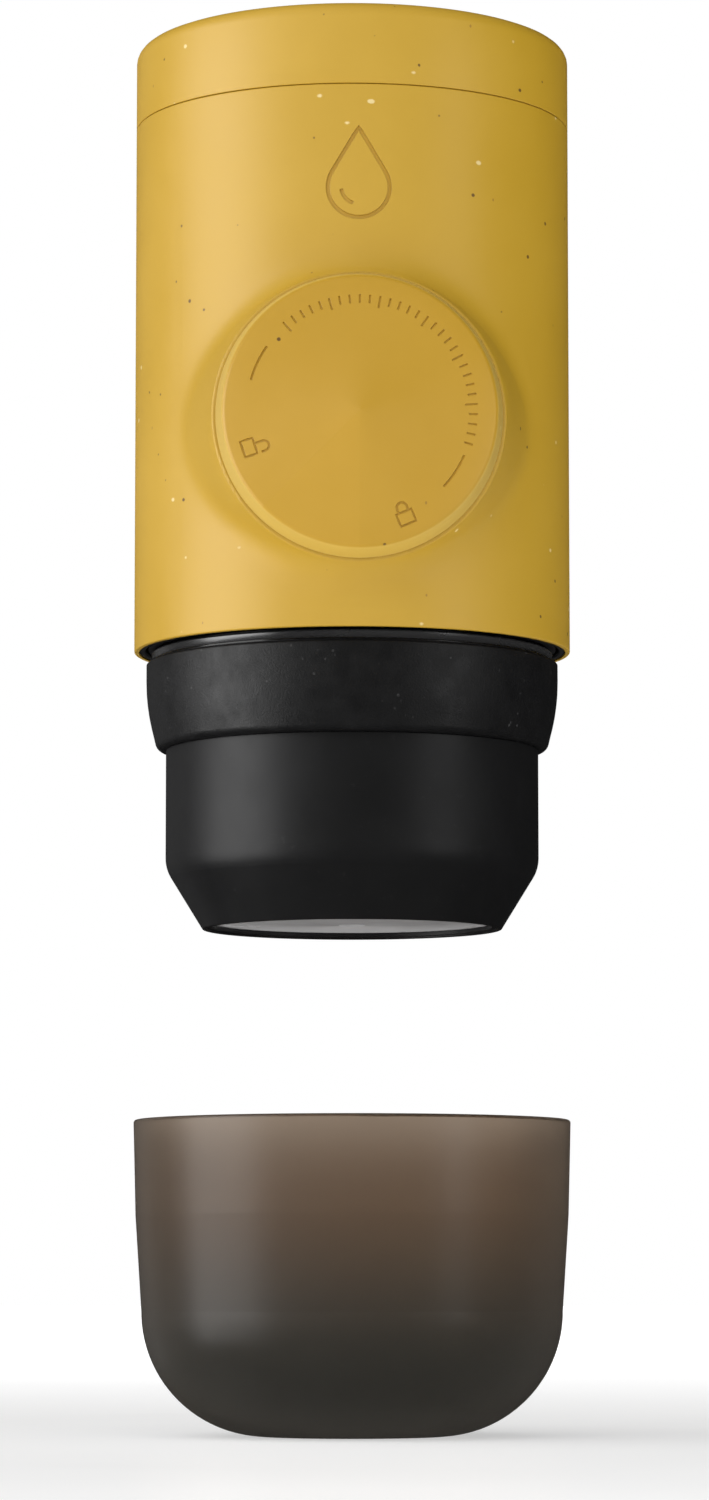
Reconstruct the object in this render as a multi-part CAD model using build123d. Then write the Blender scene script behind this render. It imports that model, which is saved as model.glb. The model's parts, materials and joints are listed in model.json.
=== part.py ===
from build123d import *
from math import cos, pi, sin, sqrt
import os

os.makedirs("parts", exist_ok=True)

# Handheld, hand-pumped espresso maker, standing in the air above its own cup.
# Millimetres, +Z up, origin at the middle of the cup's base on the table.
# The knob faces -Y. The pump lies along Y, tank above it, brew head below it.

# ---- Heights ----
POUR_GAP = 27.8  # cup rim to outlet rim
CONE_HEIGHT = 8.85
BOWL_HEIGHT = 17.35
COLLAR_HEIGHT = 12.8
COLLAR_SKIRT = 6.5  # tapered lower part of the collar
COLLAR_GAP = 1.6  # open ring between collar and shell
NECK_LENGTH = 9.25  # threaded neck above the collar
SHELL_HEIGHT = 77.85
SEAM_GAP = 0.3  # open ring between shell and tank cap
TANK_CAP_HEIGHT = 10.7
BASKET_DEPTH = 18.0
FUNNEL_DROP = 10.0  # height of the funnel's cone
CUP_ROOM = 3.4  # free height under the outlet once the cup is slipped on
CUP_FLOOR = 1.6
CUP_ROUND = 18.0  # radius of the cup's rounded bottom

# ---- Widths ----
BODY_R = 32.0
COLLAR_STEP = 1.8  # the collar is this much smaller in radius than the shell
BOWL_STEP = 4.7  # and the bowl this much smaller than the shell
CONE_STEP = 5.45  # the cone takes this off the bowl's radius
CUP_TAPER = 1.25  # the cup's waist is this much smaller in radius than its rim
KNOB_OVERHANG = 6.7  # knob's edge beyond the sleeve, over the bush's flange
KNOB_DRAFT = 0.9  # knob's face edge inside its base
BOSS_RIM = 0.5  # boss beyond the knob's edge
SPRING_ROOM = 2.0  # ring between liner and sleeve for the return spring
PUMP_BORE_R = 8.0
PLUNGER_LENGTH = 8.0

# ---- Where the knob sits ----
SCREW_LAND = 3.25  # lowest bush screw above the brew ceiling's underside
BOSS_RISE = 1.5  # boss face in front of the shell's front
KNOB_PROUD = 4.4  # knob's face edge in front of the boss face
KNOB_CROWN = 0.8  # rise of the conical face at its centre

# ---- Walls ----
SHELL_WALL = 1.8
FRAME_WALL = 1.2
VESSEL_WALL = 1.6
BOWL_WALL = 2.0
BASKET_WALL = 0.6
CUP_WALL = 1.25
SLEEVE_WALL = 2.0
BUSH_WALL = 1.3
BUSH_FLANGE = 1.6
LINER_WALL = 1.6
PLATE = 3.2  # tank floor and brew ceiling
WEB = 3.0
SPOUT_WALL = 0.8

# ---- Clearances ----
STATIC_GAP = 0.3  # between pieces that don't move on each other
SEAT_GAP = 0.05  # pieces pressed or glued together
RUN_GAP = 0.35  # round turning and sliding pieces
SHAFT_GAP = 0.1  # plunger in its bore
THREAD_GAP = 1.1  # radial room for the tank thread's ridges
NECK_GAP = 0.8  # radial room for the head thread's ridges
BASKET_GAP = 1.7  # radial room round the basket
GASKET_ROOM = 1.8  # neck's top to the brew ceiling

# ---- Small features ----
PEG = 3.0  # lock pegs, square
PEG_HEIGHT = 1.1
PEG_SETBACK = 5.5  # pegs behind the boss face
LOCK_ANGLE = 90.0
RING_SECTION = 0.85  # piston O-ring wire radius
SPRING_WIRE = 0.6  # return spring wire radius
SPRING_TURNS = 6
VALVE_HEAD_R = 3.0
VALVE_STEM_R = 0.9
VALVE_POCKET_R = 4.45
VALVE_WIRE = 0.3
VALVE_TURNS = 4
PORT_R = 2.0
SCREW_R = 1.0
SCREW_HEAD_R = 1.6
SCREW_HEAD = 1.2
CAP_ROUND = 2.5  # tank cap's top edge
COLLAR_ROUND = 1.2
COLLAR_TAPER = 1.6  # taken off the collar's radius along its skirt
COLLAR_BEND = 30.0  # soft turn from the collar's wall into its skirt
SHOULDER = 1.3  # glossy shoulder of the bowl, beyond the neck
SHOULDER_HEIGHT = 0.8
COLLAR_SEAT = 0.5  # depth of the step in the bowl that the collar lies in
BOWL_ROUND = 5.5  # where the bowl turns into the cone
EDGE_BREAK = 0.2  # small rounding of moulded edges
RIB = 1.0  # stiffening ribs
BOSS_BLEND = 5.0  # hollow rounding between boss and shell
BOSS_FLARE = 4.2  # boss's foot beyond its rim
HOLE_R = 0.8  # basket and screen perforations

# ---- Levels that follow ----
HEAD_HEIGHT = CONE_HEIGHT + BOWL_HEIGHT + COLLAR_HEIGHT + COLLAR_GAP
CUP_HEIGHT = HEAD_HEIGHT + CUP_ROOM + CUP_FLOOR
OUTLET_Z = CUP_HEIGHT + POUR_GAP
CONE_TOP = OUTLET_Z + CONE_HEIGHT
COLLAR_Z = CONE_TOP + BOWL_HEIGHT
COLLAR_TOP = COLLAR_Z + COLLAR_HEIGHT
SHELL_Z = COLLAR_TOP + COLLAR_GAP
SHELL_TOP = SHELL_Z + SHELL_HEIGHT
CAP_Z = SHELL_TOP + SEAM_GAP
CAP_TOP = CAP_Z + TANK_CAP_HEIGHT
NECK_TOP = COLLAR_TOP + NECK_LENGTH
BASKET_SEAT_Z = NECK_TOP - 0.8
BASKET_Z = BASKET_SEAT_Z + SEAT_GAP - BASKET_DEPTH
CEILING_Z = NECK_TOP + GASKET_ROOM
CEILING_TOP = CEILING_Z + PLATE

# ---- Radii that follow ----
SHELL_IN_R = BODY_R - SHELL_WALL
FRAME_R = SHELL_IN_R - STATIC_GAP
FRAME_IN_R = FRAME_R - FRAME_WALL
VESSEL_R = FRAME_IN_R - THREAD_GAP
COLLAR_R = BODY_R - COLLAR_STEP
BOWL_R = BODY_R - BOWL_STEP
OUTLET_R = BOWL_R - CONE_STEP
NECK_R = FRAME_IN_R - NECK_GAP
COLLAR_SEAT_R = BOWL_R - COLLAR_SEAT
BOWL_IN_R = BOWL_R - BOWL_WALL
CUP_IN_R = COLLAR_R + RUN_GAP
CUP_R = CUP_IN_R + CUP_WALL
CUP_WAIST_R = CUP_R - CUP_TAPER
CUP_FOOT_R = CUP_WAIST_R - CUP_ROUND
BASKET_R = BOWL_IN_R - BASKET_GAP
SCREEN_R = BASKET_R - BASKET_WALL - 1.8

# ---- From the pump's bore outwards to the boss ----
LINER_R = PUMP_BORE_R + LINER_WALL
SLEEVE_IN_R = LINER_R + SPRING_ROOM
SLEEVE_R = SLEEVE_IN_R + SLEEVE_WALL
POCKET_R = SLEEVE_R + 0.6
BUSH_R = SLEEVE_R + RUN_GAP + BUSH_WALL
KNOB_R = SLEEVE_R + KNOB_OVERHANG
KNOB_FACE_R = KNOB_R - KNOB_DRAFT
BOSS_R = KNOB_R + BOSS_RIM
BUSH_FLANGE_R = BOSS_R - SHELL_WALL
BUSH_SCREW_R = BUSH_R + SCREW_HEAD_R + 0.1
BLOCK_R = LINER_R + 4.0
CAP_SCREW_R = LINER_R + 2.2
RING_OUT_R = PUMP_BORE_R - 0.03

# ---- Levels round the pump ----
KNOB_Z = CEILING_Z + SCREW_LAND + BUSH_SCREW_R
FLOOR_TOP = KNOB_Z + BUSH_R + STATIC_GAP + 1.8
FLOOR_Z = FLOOR_TOP - PLATE
VESSEL_Z = FLOOR_TOP + 1.5

# ---- Stations along the pump ----
# The stroke is what the body's depth leaves between the boss face and the
# cylinder cap's screws: sleeve and plunger each use it up once.
CAP_PLATE = 2.5
CAP_BACK_Y = sqrt(FRAME_IN_R**2 - CAP_SCREW_R**2) - SCREW_HEAD - 2.5
SLEEVE_TAIL = PEG / 2 + 3.0
VALVE_SIDE = VALVE_POCKET_R + 1.2
LINER_OVERHANG = 8.0  # liner in front of the block, inside the sleeve
LINER_LEAD = 2.0  # plunger stays this far inside the liner's mouth
FIXED_DEPTH = PEG_SETBACK + SLEEVE_TAIL + 1.0 - LINER_OVERHANG + LINER_LEAD
FIXED_DEPTH += PLUNGER_LENGTH + 1.0 + PORT_R + VALVE_SIDE + CAP_PLATE
BOSS_Y = -(BODY_R + BOSS_RISE)
PUMP_STROKE = (CAP_BACK_Y - BOSS_Y - FIXED_DEPTH) / 2
PEG_Y = BOSS_Y + PEG_SETBACK
SLEEVE_END_Y = PEG_Y + PUMP_STROKE + SLEEVE_TAIL
BLOCK_Y = SLEEVE_END_Y + 1.0
LINER_Y = BLOCK_Y - LINER_OVERHANG
PLUNGER_Y = LINER_Y + LINER_LEAD + PUMP_STROKE
PLUNGER_END_Y = PLUNGER_Y + PLUNGER_LENGTH
VALVE_Y = PLUNGER_END_Y + 1.0 + PORT_R
BLOCK_END_Y = VALVE_Y + VALVE_SIDE
KNOB_BACK_Y = BOSS_Y - RUN_GAP
KNOB_EDGE_Y = BOSS_Y - KNOB_PROUD
WEB_Y = KNOB_BACK_Y - 0.15  # back of the sleeve's flange
CAVITY_Y = KNOB_EDGE_Y + 1.3  # front of the hollow inside the knob
RIB_Y = WEB_Y + 1.6  # back of the sleeve's web
SLEEVE_FRONT_Y = WEB_Y - 1.7  # front of the sleeve's flange


def disc(radius, bottom, top, x=0.0, y=0.0):
    """Upright cylinder between two levels."""
    return Pos(x, y, (bottom + top) / 2) * Cylinder(radius, top - bottom)


def rod(radius, front, back, x=0.0, z=0.0):
    """Cylinder along Y, placed from the pump axis."""
    return Pos(x, (front + back) / 2, KNOB_Z + z) * Rot(90, 0, 0) * Cylinder(radius, back - front)


def lathe(points):
    """Turned solid about Z from (radius, level) points."""
    return revolve(Plane.XZ * make_face(Polyline(*points, close=True)), Axis.Z)


def lathe_pump(points):
    """Turned solid about the pump axis from (radius, y) points."""
    return Pos(0, 0, KNOB_Z) * revolve(make_face(Polyline(*points, close=True)), Axis.Y)


def sector(r_in, r_out, start, sweep, front, back):
    """Part of a ring round the pump axis, angles counterclockwise seen from the front."""
    outer = CenterArc((0, 0), r_out, start, sweep)
    inner = CenterArc((0, 0), r_in, start, sweep)
    sides = [Line(inner @ 0, outer @ 0), Line(inner @ 1, outer @ 1)]
    face = make_face([outer, inner, *sides])
    return Pos(0, back, KNOB_Z) * extrude(Plane.XZ * face, back - front)


def circles(shape, least_r):
    """Circular edges at least this wide, the lowest first."""
    found = [e for e in shape.edges().filter_by(GeomType.CIRCLE) if e.radius > least_r - 0.01]
    return sorted(found, key=lambda e: e.center().Z)


def around(count, radius, start=0.0):
    """Evenly spaced (u, v) points on a circle."""
    return [Vector(radius, 0).rotate(Axis.Z, start + 360.0 * n / count) for n in range(count)]


def coil(radius, wire, length, turns):
    """Compression spring standing on z = 0, eight-sided wire in twelve steps a turn."""
    steps = 12
    count = steps * turns
    rise = length - 2 * wire
    points = []
    for n in range(count + 1):
        angle = 2 * pi * n / steps
        points.append((radius * cos(angle), radius * sin(angle), wire + rise * n / count))
    path = Polyline(*points)
    profile = Plane(origin=path @ 0, z_dir=path % 0) * RegularPolygon(wire, 8)
    return sweep(profile, path=path, transition=Transition.RIGHT)


# ---------------------------------------------------------------- cup
def cup():
    """Thin tinted bowl that slips over the grip collar."""
    band_z = CUP_HEIGHT - COLLAR_HEIGHT - 1.0
    band_r = CUP_R - 0.35
    in_r = CUP_WAIST_R - CUP_FLOOR
    low = (CUP_FOOT_R, CUP_ROUND)
    section = [
        Line((0, 0), (CUP_FOOT_R, 0)),
        CenterArc(low, CUP_ROUND, start_angle=270, arc_size=90),
        Line((CUP_WAIST_R, CUP_ROUND), (band_r, band_z)),
        Line((band_r, band_z), (CUP_R, CUP_HEIGHT)),
        Line((CUP_R, CUP_HEIGHT), (CUP_IN_R, CUP_HEIGHT)),
        Line((CUP_IN_R, CUP_HEIGHT), (CUP_IN_R - 0.05, band_z)),
        Line((CUP_IN_R - 0.05, band_z), (in_r, CUP_ROUND)),
        CenterArc(low, CUP_ROUND - CUP_FLOOR, start_angle=270, arc_size=90),
        Line((CUP_FOOT_R, CUP_FLOOR), (0, CUP_FLOOR)),
        Line((0, CUP_FLOOR), (0, 0)),
    ]
    body = revolve(Plane.XZ * make_face(section), Axis.Z)
    lip = body.edges().filter_by(GeomType.CIRCLE).group_by(Axis.Z)[-1]
    return fillet(lip, CUP_WALL * 0.35)


# ---------------------------------------------------------------- brew head
LEDGE_Z = BASKET_Z - 4.2  # funnel seat inside the bowl
LEDGE = 1.3
LIP_Z = OUTLET_Z + 0.3  # lip the spout plate lies on
LIP_TOP = LIP_Z + 0.6
LIP_R = OUTLET_R - 1.4
SPOUT_R = OUTLET_R - 0.25
RIM_IN_R = OUTLET_R - 0.8
TUBE_R = 4.0
TUBE_BORE_R = 2.6


def outlet_bowl():
    """Bowl, cone and threaded neck, one moulding open at both ends."""
    seat_r = BOWL_IN_R + 1.2
    shoulder_z = COLLAR_TOP + SEAT_GAP
    body = lathe(
        [
            (OUTLET_R, OUTLET_Z),
            (BOWL_R, CONE_TOP),
            (BOWL_R, COLLAR_Z - SEAT_GAP),
            (COLLAR_SEAT_R, COLLAR_Z - SEAT_GAP),
            (COLLAR_SEAT_R, COLLAR_TOP - 0.7),
            (NECK_R, COLLAR_TOP - 0.2),
            (NECK_R, shoulder_z),
            (NECK_R + SHOULDER, shoulder_z),
            (NECK_R + SHOULDER, shoulder_z + SHOULDER_HEIGHT),
            (NECK_R, shoulder_z + SHOULDER_HEIGHT),
            (NECK_R, NECK_TOP - 0.4),
            (NECK_R - 0.4, NECK_TOP),
            (seat_r, NECK_TOP),
            (seat_r, BASKET_SEAT_Z),
            (BOWL_IN_R, BASKET_SEAT_Z),
            (BOWL_IN_R, LEDGE_Z),
            (BOWL_IN_R - LEDGE, LEDGE_Z),
            (BOWL_IN_R - LEDGE, CONE_TOP + 0.8),
            (SPOUT_R + 0.2, LIP_TOP + 0.8),
            (SPOUT_R + 0.2, LIP_TOP),
            (LIP_R, LIP_TOP),
            (LIP_R, LIP_Z),
            (RIM_IN_R, LIP_Z),
            (RIM_IN_R, OUTLET_Z),
        ]
    )
    body = fillet(circles(body, BOWL_R)[0], BOWL_ROUND)
    body = fillet(circles(body, NECK_R + SHOULDER)[-1], SHOULDER_HEIGHT * 0.75)
    rim = body.edges().filter_by(GeomType.CIRCLE).group_by(Axis.Z)[0]
    return fillet(rim, EDGE_BREAK)


def grip_collar():
    """Soft band round the bowl, its skirt tapered; the cup grips on it."""
    inner = COLLAR_SEAT_R + SEAT_GAP
    band = lathe(
        [
            (inner, COLLAR_Z),
            (COLLAR_R - COLLAR_TAPER, COLLAR_Z),
            (COLLAR_R, COLLAR_Z + COLLAR_SKIRT),
            (COLLAR_R, COLLAR_TOP),
            (NECK_R + SEAT_GAP, COLLAR_TOP),
            (NECK_R + SEAT_GAP, COLLAR_TOP - 0.9),
            (inner, COLLAR_TOP - 0.9),
        ]
    )
    band = fillet(circles(band, COLLAR_R - COLLAR_TAPER)[0], COLLAR_ROUND)
    band = chamfer(circles(band, COLLAR_R)[-1], 0.3)
    return fillet(circles(band, COLLAR_R)[0], COLLAR_BEND)


def filter_basket():
    """Drawn steel cup with a perforated floor, hung by its flange."""
    flange_z = BASKET_SEAT_Z + SEAT_GAP
    flange_r = BOWL_IN_R + 0.8
    in_r = BASKET_R - BASKET_WALL
    body = lathe(
        [
            (0, BASKET_Z),
            (BASKET_R - 1.0, BASKET_Z),
            (BASKET_R, BASKET_Z + 1.0),
            (BASKET_R, flange_z),
            (flange_r, flange_z),
            (flange_r, flange_z + BASKET_WALL),
            (in_r, flange_z + BASKET_WALL),
            (in_r, BASKET_Z + 1.0 + BASKET_WALL),
            (in_r - 1.0, BASKET_Z + BASKET_WALL),
            (0, BASKET_Z + BASKET_WALL),
        ]
    )
    return body - perforation(in_r, BASKET_Z, BASKET_Z + BASKET_WALL, HOLE_R)


def perforation(reach, bottom, top, hole_r):
    """Rings of through holes spread over a disc of the given radius."""
    holes = []
    for ring, count in enumerate((6, 12, 18), start=1):
        for point in around(count, reach * ring / 3.7):
            holes.append(disc(hole_r, bottom - 0.5, top + 0.5, point.X, point.Y))
    return Compound(children=holes)


def collector_funnel():
    """Funnel that gathers the coffee under the basket into one tube."""
    rim_r = BOWL_IN_R - SEAT_GAP
    skirt_r = BOWL_IN_R - LEDGE - 0.9
    tube_z = OUTLET_Z + 2.2
    cone_z = LEDGE_Z - FUNNEL_DROP
    return lathe(
        [
            (TUBE_BORE_R, tube_z),
            (TUBE_R, tube_z),
            (TUBE_R, cone_z),
            (skirt_r, LEDGE_Z - 0.8),
            (skirt_r, LEDGE_Z + SEAT_GAP),
            (rim_r, LEDGE_Z + SEAT_GAP),
            (rim_r, LEDGE_Z + 1.2),
            (skirt_r - 1.2, LEDGE_Z + 1.2),
            (TUBE_BORE_R, cone_z + 1.5),
        ]
    )


def spout_plate():
    """Dished plate with the central pouring hole."""
    rim = LIP_TOP + SEAT_GAP
    edge_r = LIP_R - 0.4
    low = OUTLET_Z + 0.6
    thick = SPOUT_WALL
    mid_r = edge_r * 0.6
    mid_z = low + (rim - low) * 0.3
    lower = ThreePointArc((PORT_R, low), (mid_r, mid_z), (edge_r, rim))
    upper = ThreePointArc((PORT_R, low + thick), (mid_r, mid_z + thick), (edge_r, rim + thick))
    flat = [
        Line((edge_r, rim), (SPOUT_R, rim)),
        Line((SPOUT_R, rim), (SPOUT_R, rim + thick)),
        Line((SPOUT_R, rim + thick), (edge_r, rim + thick)),
    ]
    hole = Line((PORT_R, low), (PORT_R, low + thick))
    return revolve(Plane.XZ * make_face([lower, upper, *flat, hole]), Axis.Z)


def spout_seal():
    """Ring that closes the plate against the cone."""
    bottom = LIP_TOP + SPOUT_WALL + 2 * SEAT_GAP
    return disc(SPOUT_R, bottom, bottom + 1.2) - disc(SPOUT_R - 1.6, bottom - 1, bottom + 2)


def brew_gasket():
    """Ring the basket's flange is screwed up against."""
    outer = BOWL_IN_R + 0.9
    inner = SCREEN_R + 1.4
    return disc(outer, NECK_TOP + 0.05, CEILING_Z - 0.1) - disc(inner, NECK_TOP - 1, CEILING_Z)


# ---------------------------------------------------------------- inner frame
SCREEN_Z = CEILING_Z - 2.4
SCREEN_WALL = 0.6
FRAME_BOSS_R = BOSS_R - SHELL_WALL - STATIC_GAP
BOSS_WALL_Y = BOSS_Y + BUSH_FLANGE  # floor of the boss recess the bush lies in
FRAME_BOSS_Y = BOSS_WALL_Y + SHELL_WALL + STATIC_GAP
INLET_SEAT_Z = FLOOR_TOP - 2.0
OUTLET_SEAT_Z = KNOB_Z - LINER_R - 2.5
RETAINER_Z = CEILING_Z + 0.4


def frame_tube():
    """Tube with the pump bay hollowed out of it and the front boss for the bush."""
    tube = disc(FRAME_R, SHELL_Z + 0.4, SHELL_TOP - 0.4)
    tube -= disc(FRAME_IN_R, CEILING_TOP, FLOOR_Z)
    return tube + rod(FRAME_BOSS_R, FRAME_BOSS_Y, -FRAME_IN_R * 0.68)


def frame_block():
    """Pump block, valve tower and the webs that carry them."""
    length = BLOCK_END_Y - BLOCK_Y
    middle = (BLOCK_Y + BLOCK_END_Y) / 2
    tall = FLOOR_Z - CEILING_TOP
    block = rod(BLOCK_R, BLOCK_Y, BLOCK_END_Y)
    block += Pos(0, middle, KNOB_Z) * Box(2 * FRAME_IN_R + 1, length, WEB)
    block += Pos(0, middle, (FLOOR_Z + CEILING_TOP) / 2) * Box(WEB, length, tall + 1)
    block += disc(VALVE_POCKET_R + 2.2, CEILING_TOP - 0.5, FLOOR_Z + 0.5, 0, VALVE_Y)
    block += disc(4.0, CEILING_TOP - 0.5, CEILING_TOP + 4.0)
    return block & disc(FRAME_R, CEILING_Z, FLOOR_TOP)


def screen_mount():
    """Ring that centres the brew gasket and post that the screen is screwed to."""
    ring = disc(SCREEN_R + 1.2, SCREEN_Z, CEILING_Z) - disc(SCREEN_R + 0.2, SCREEN_Z, CEILING_Z)
    return ring + disc(4.0, SCREEN_Z + SCREEN_WALL + SEAT_GAP, CEILING_Z)


def frame_cuts():
    """Everything bored out of the frame."""
    cuts = [
        rod(BUSH_R + STATIC_GAP, -BODY_R, 0.0 - FRAME_IN_R * 0.6),
        rod(POCKET_R, -BODY_R, BLOCK_Y),
        rod(LINER_R + SEAT_GAP, BLOCK_Y - 1, BLOCK_END_Y + 1),
        rod(LINER_R + 1.6, BLOCK_Y, BLOCK_Y + 2.0),
        rod(BLOCK_R + 0.3, BLOCK_END_Y, BODY_R),
        disc(VALVE_HEAD_R + 0.5, KNOB_Z + PUMP_BORE_R, INLET_SEAT_Z, 0, VALVE_Y),
        disc(VALVE_POCKET_R, INLET_SEAT_Z, FLOOR_TOP, 0, VALVE_Y),
        disc(VALVE_POCKET_R, CEILING_Z, OUTLET_SEAT_Z + 2.0 + SEAT_GAP, 0, VALVE_Y),
        disc(PORT_R, OUTLET_SEAT_Z, KNOB_Z, 0, VALVE_Y),
        disc(SCREW_R + 0.3, SCREEN_Z, CEILING_TOP + 3.0),
    ]
    for point in around(4, CAP_SCREW_R, 45):
        cuts.append(rod(SCREW_R + SEAT_GAP, BLOCK_END_Y - 7.5, BLOCK_END_Y + 1, point.X, point.Y))
    return cuts


def chassis():
    """Whole chassis inside the shell, before it is parted into its three mouldings."""
    body = frame_tube() + frame_block()
    body -= disc(FRAME_IN_R, FLOOR_TOP, SHELL_TOP)
    body -= disc(FRAME_IN_R, SHELL_Z, CEILING_Z)
    body += screen_mount()
    for cut in frame_cuts():
        body -= cut
    for point in around(3, BUSH_SCREW_R, 270):
        body -= rod(SCREW_R + SEAT_GAP, FRAME_BOSS_Y - 1, FRAME_BOSS_Y + 6, point.X, point.Y)
    return body


def storey(bottom, top):
    """The part of the chassis between two levels."""
    return chassis() & Pos(0, 0, (bottom + top) / 2) * Box(3 * BODY_R, 3 * BODY_R, top - bottom)


def tank_socket():
    """Upper moulding of the chassis: tank floor, inlet pocket and the wall the tank screws into."""
    return storey(FLOOR_Z + SEAT_GAP, SHELL_TOP)


def inner_frame():
    """Middle moulding, welded between the two sockets: pump block, valve tower, webs and bush boss."""
    return storey(CEILING_TOP, FLOOR_Z)


def head_socket():
    """Lower moulding: brew ceiling, screen post and the wall the brew head screws into."""
    return storey(SHELL_Z, CEILING_TOP - SEAT_GAP)


# ---------------------------------------------------------------- shell and tank
FLANGE_Z = CAP_Z + 0.3  # flange of the tank vessel, inside the cap's skirt
FLANGE_TOP = FLANGE_Z + 1.4
KNOB_RIBS = 8


def flare():
    """Growth of the boss towards its foot, kept on the tube."""
    return min(BOSS_FLARE, (BODY_R - BOSS_R) * 0.55)


def boss():
    """Drafted round pad for the knob, before it is joined to the tube."""
    base_r = BOSS_R + flare()
    base_y = 0.8 - sqrt(BODY_R**2 - base_r**2)
    pad = lathe_pump([(0, BOSS_Y), (BOSS_R, BOSS_Y), (base_r, base_y), (0, base_y)])
    rim = [e for e in pad.edges().filter_by(GeomType.CIRCLE) if abs(e.radius - BOSS_R) < 0.01]
    return fillet(rim, 0.4)


def outer_shell():
    """Thin tube with the round boss the knob lies on."""
    body = disc(BODY_R, SHELL_Z, SHELL_TOP) + boss()
    saddle = [e for e in body.edges().filter_by(GeomType.BSPLINE) if e.bounding_box().size.Z > BOSS_R]
    body = fillet(saddle, min(BOSS_BLEND, flare() * 1.1))
    body -= rod(BOSS_R - SHELL_WALL, FRAME_BOSS_Y - STATIC_GAP, 0)
    rims = [e for e in body.edges().filter_by(GeomType.CIRCLE) if abs(e.radius - BODY_R) < 0.01]
    body = fillet(rims, EDGE_BREAK)
    body -= disc(SHELL_IN_R, SHELL_Z - 1, SHELL_TOP + 1)
    body -= rod(BUSH_FLANGE_R + 0.15, BOSS_Y - 1, BOSS_WALL_Y)
    body -= rod(BUSH_R + 0.15, BOSS_Y - 1, 0)
    for point in around(3, BUSH_SCREW_R, 270):
        body -= rod(SCREW_R + 0.2, BOSS_Y - 1, 0, point.X, point.Y)
    return body


def tank_cap():
    """Coloured cover over the closed end of the tank, its top lightly dished."""
    under = CAP_TOP - SHELL_WALL - 0.2
    body = disc(BODY_R, CAP_Z, CAP_TOP)
    rims = body.edges().filter_by(GeomType.CIRCLE).sort_by(Axis.Z)
    body = fillet(rims[-1], CAP_ROUND)
    body = fillet(body.edges().filter_by(GeomType.CIRCLE).sort_by(Axis.Z)[0], EDGE_BREAK)
    body -= disc(SHELL_IN_R, CAP_Z - 1, under)
    return body - disc(BODY_R - 7.0, CAP_TOP - 0.6, CAP_TOP + 1)


def tank_vessel():
    """Water tank: a deep cup, mouth down, with a flange glued in the cap."""
    in_r = VESSEL_R - VESSEL_WALL
    top = CAP_TOP - SHELL_WALL - 0.2 - SEAT_GAP - 0.4
    return lathe(
        [
            (in_r, VESSEL_Z),
            (VESSEL_R, VESSEL_Z),
            (VESSEL_R, FLANGE_Z),
            (SHELL_IN_R - 0.2, FLANGE_Z),
            (SHELL_IN_R - 0.2, FLANGE_TOP),
            (VESSEL_R, FLANGE_TOP),
            (VESSEL_R, top),
            (0, top),
            (0, top - VESSEL_WALL),
            (in_r, top - VESSEL_WALL),
        ]
    )


def tank_gasket():
    """Flat ring on the tank floor that the vessel's mouth closes on."""
    bottom = FLOOR_TOP + 0.1
    top = VESSEL_Z - 0.2
    return disc(VESSEL_R + 0.4, bottom, top) - disc(VESSEL_R - VESSEL_WALL - 1.4, bottom, top)


# ---------------------------------------------------------------- pump
def pump_cylinder():
    """Polished liner the plunger runs in, with a port to each valve."""
    body = lathe_pump(
        [
            (PUMP_BORE_R + 0.6, LINER_Y),
            (LINER_R, LINER_Y),
            (LINER_R, BLOCK_Y),
            (LINER_R + 1.4, BLOCK_Y),
            (LINER_R + 1.4, BLOCK_Y + 2.0 - SEAT_GAP),
            (LINER_R, BLOCK_Y + 2.0 - SEAT_GAP),
            (LINER_R, BLOCK_END_Y),
            (PUMP_BORE_R, BLOCK_END_Y),
            (PUMP_BORE_R, LINER_Y + 1.2),
        ]
    )
    return body - disc(PORT_R, KNOB_Z - LINER_R - 1, KNOB_Z + LINER_R + 1, 0, VALVE_Y)


def cylinder_cap():
    """Plate that closes the back of the pump, with a spigot and a seal groove."""
    face = BLOCK_END_Y + SEAT_GAP
    spigot = VALVE_Y + PORT_R + 0.5
    body = lathe_pump(
        [
            (0, spigot),
            (PUMP_BORE_R - 0.1, spigot),
            (PUMP_BORE_R - 0.1, face),
            (PUMP_BORE_R + 0.1, face),
            (PUMP_BORE_R + 0.1, face + 1.0),
            (PUMP_BORE_R + 1.9, face + 1.0),
            (PUMP_BORE_R + 1.9, face),
            (BLOCK_R - 0.2, face),
            (BLOCK_R - 0.2, face + CAP_PLATE),
            (0, face + CAP_PLATE),
        ]
    )
    for point in around(4, CAP_SCREW_R, 45):
        body -= rod(SCREW_R + 0.15, face - 1, face + CAP_PLATE + 1, point.X, point.Y)
    return body


def cap_seal():
    """Square-section ring in the cap's groove."""
    face = BLOCK_END_Y + 2 * SEAT_GAP
    inner = PUMP_BORE_R + 0.2
    outer = PUMP_BORE_R + 1.8
    return rod(outer, face, face + 0.85) - rod(inner, face - 1, face + 2)


def screw_along_y(head_y, shank_end_y, x, z, head_tall=SCREW_HEAD, head_r=SCREW_HEAD_R):
    """Pan-head screw; the head lies on the side away from the shank's end."""
    way = 1 if shank_end_y > head_y else -1
    outside = head_y - way * head_tall
    head = rod(head_r, min(outside, head_y), max(outside, head_y), x, z)
    shank = rod(SCREW_R, min(head_y, shank_end_y), max(head_y, shank_end_y), x, z)
    slot_y = outside + way * 0.25
    slot = Pos(x, slot_y, KNOB_Z + z) * Box(0.5, 0.6, 2 * head_r + 1)
    return head + shank - slot


def cap_screws():
    """Four screws that hold the cylinder cap."""
    face = BLOCK_END_Y + CAP_PLATE + 2 * SEAT_GAP
    screws = [screw_along_y(face, BLOCK_END_Y - 7.0, p.X, p.Y) for p in around(4, CAP_SCREW_R, 45)]
    return Compound(children=screws)


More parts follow.
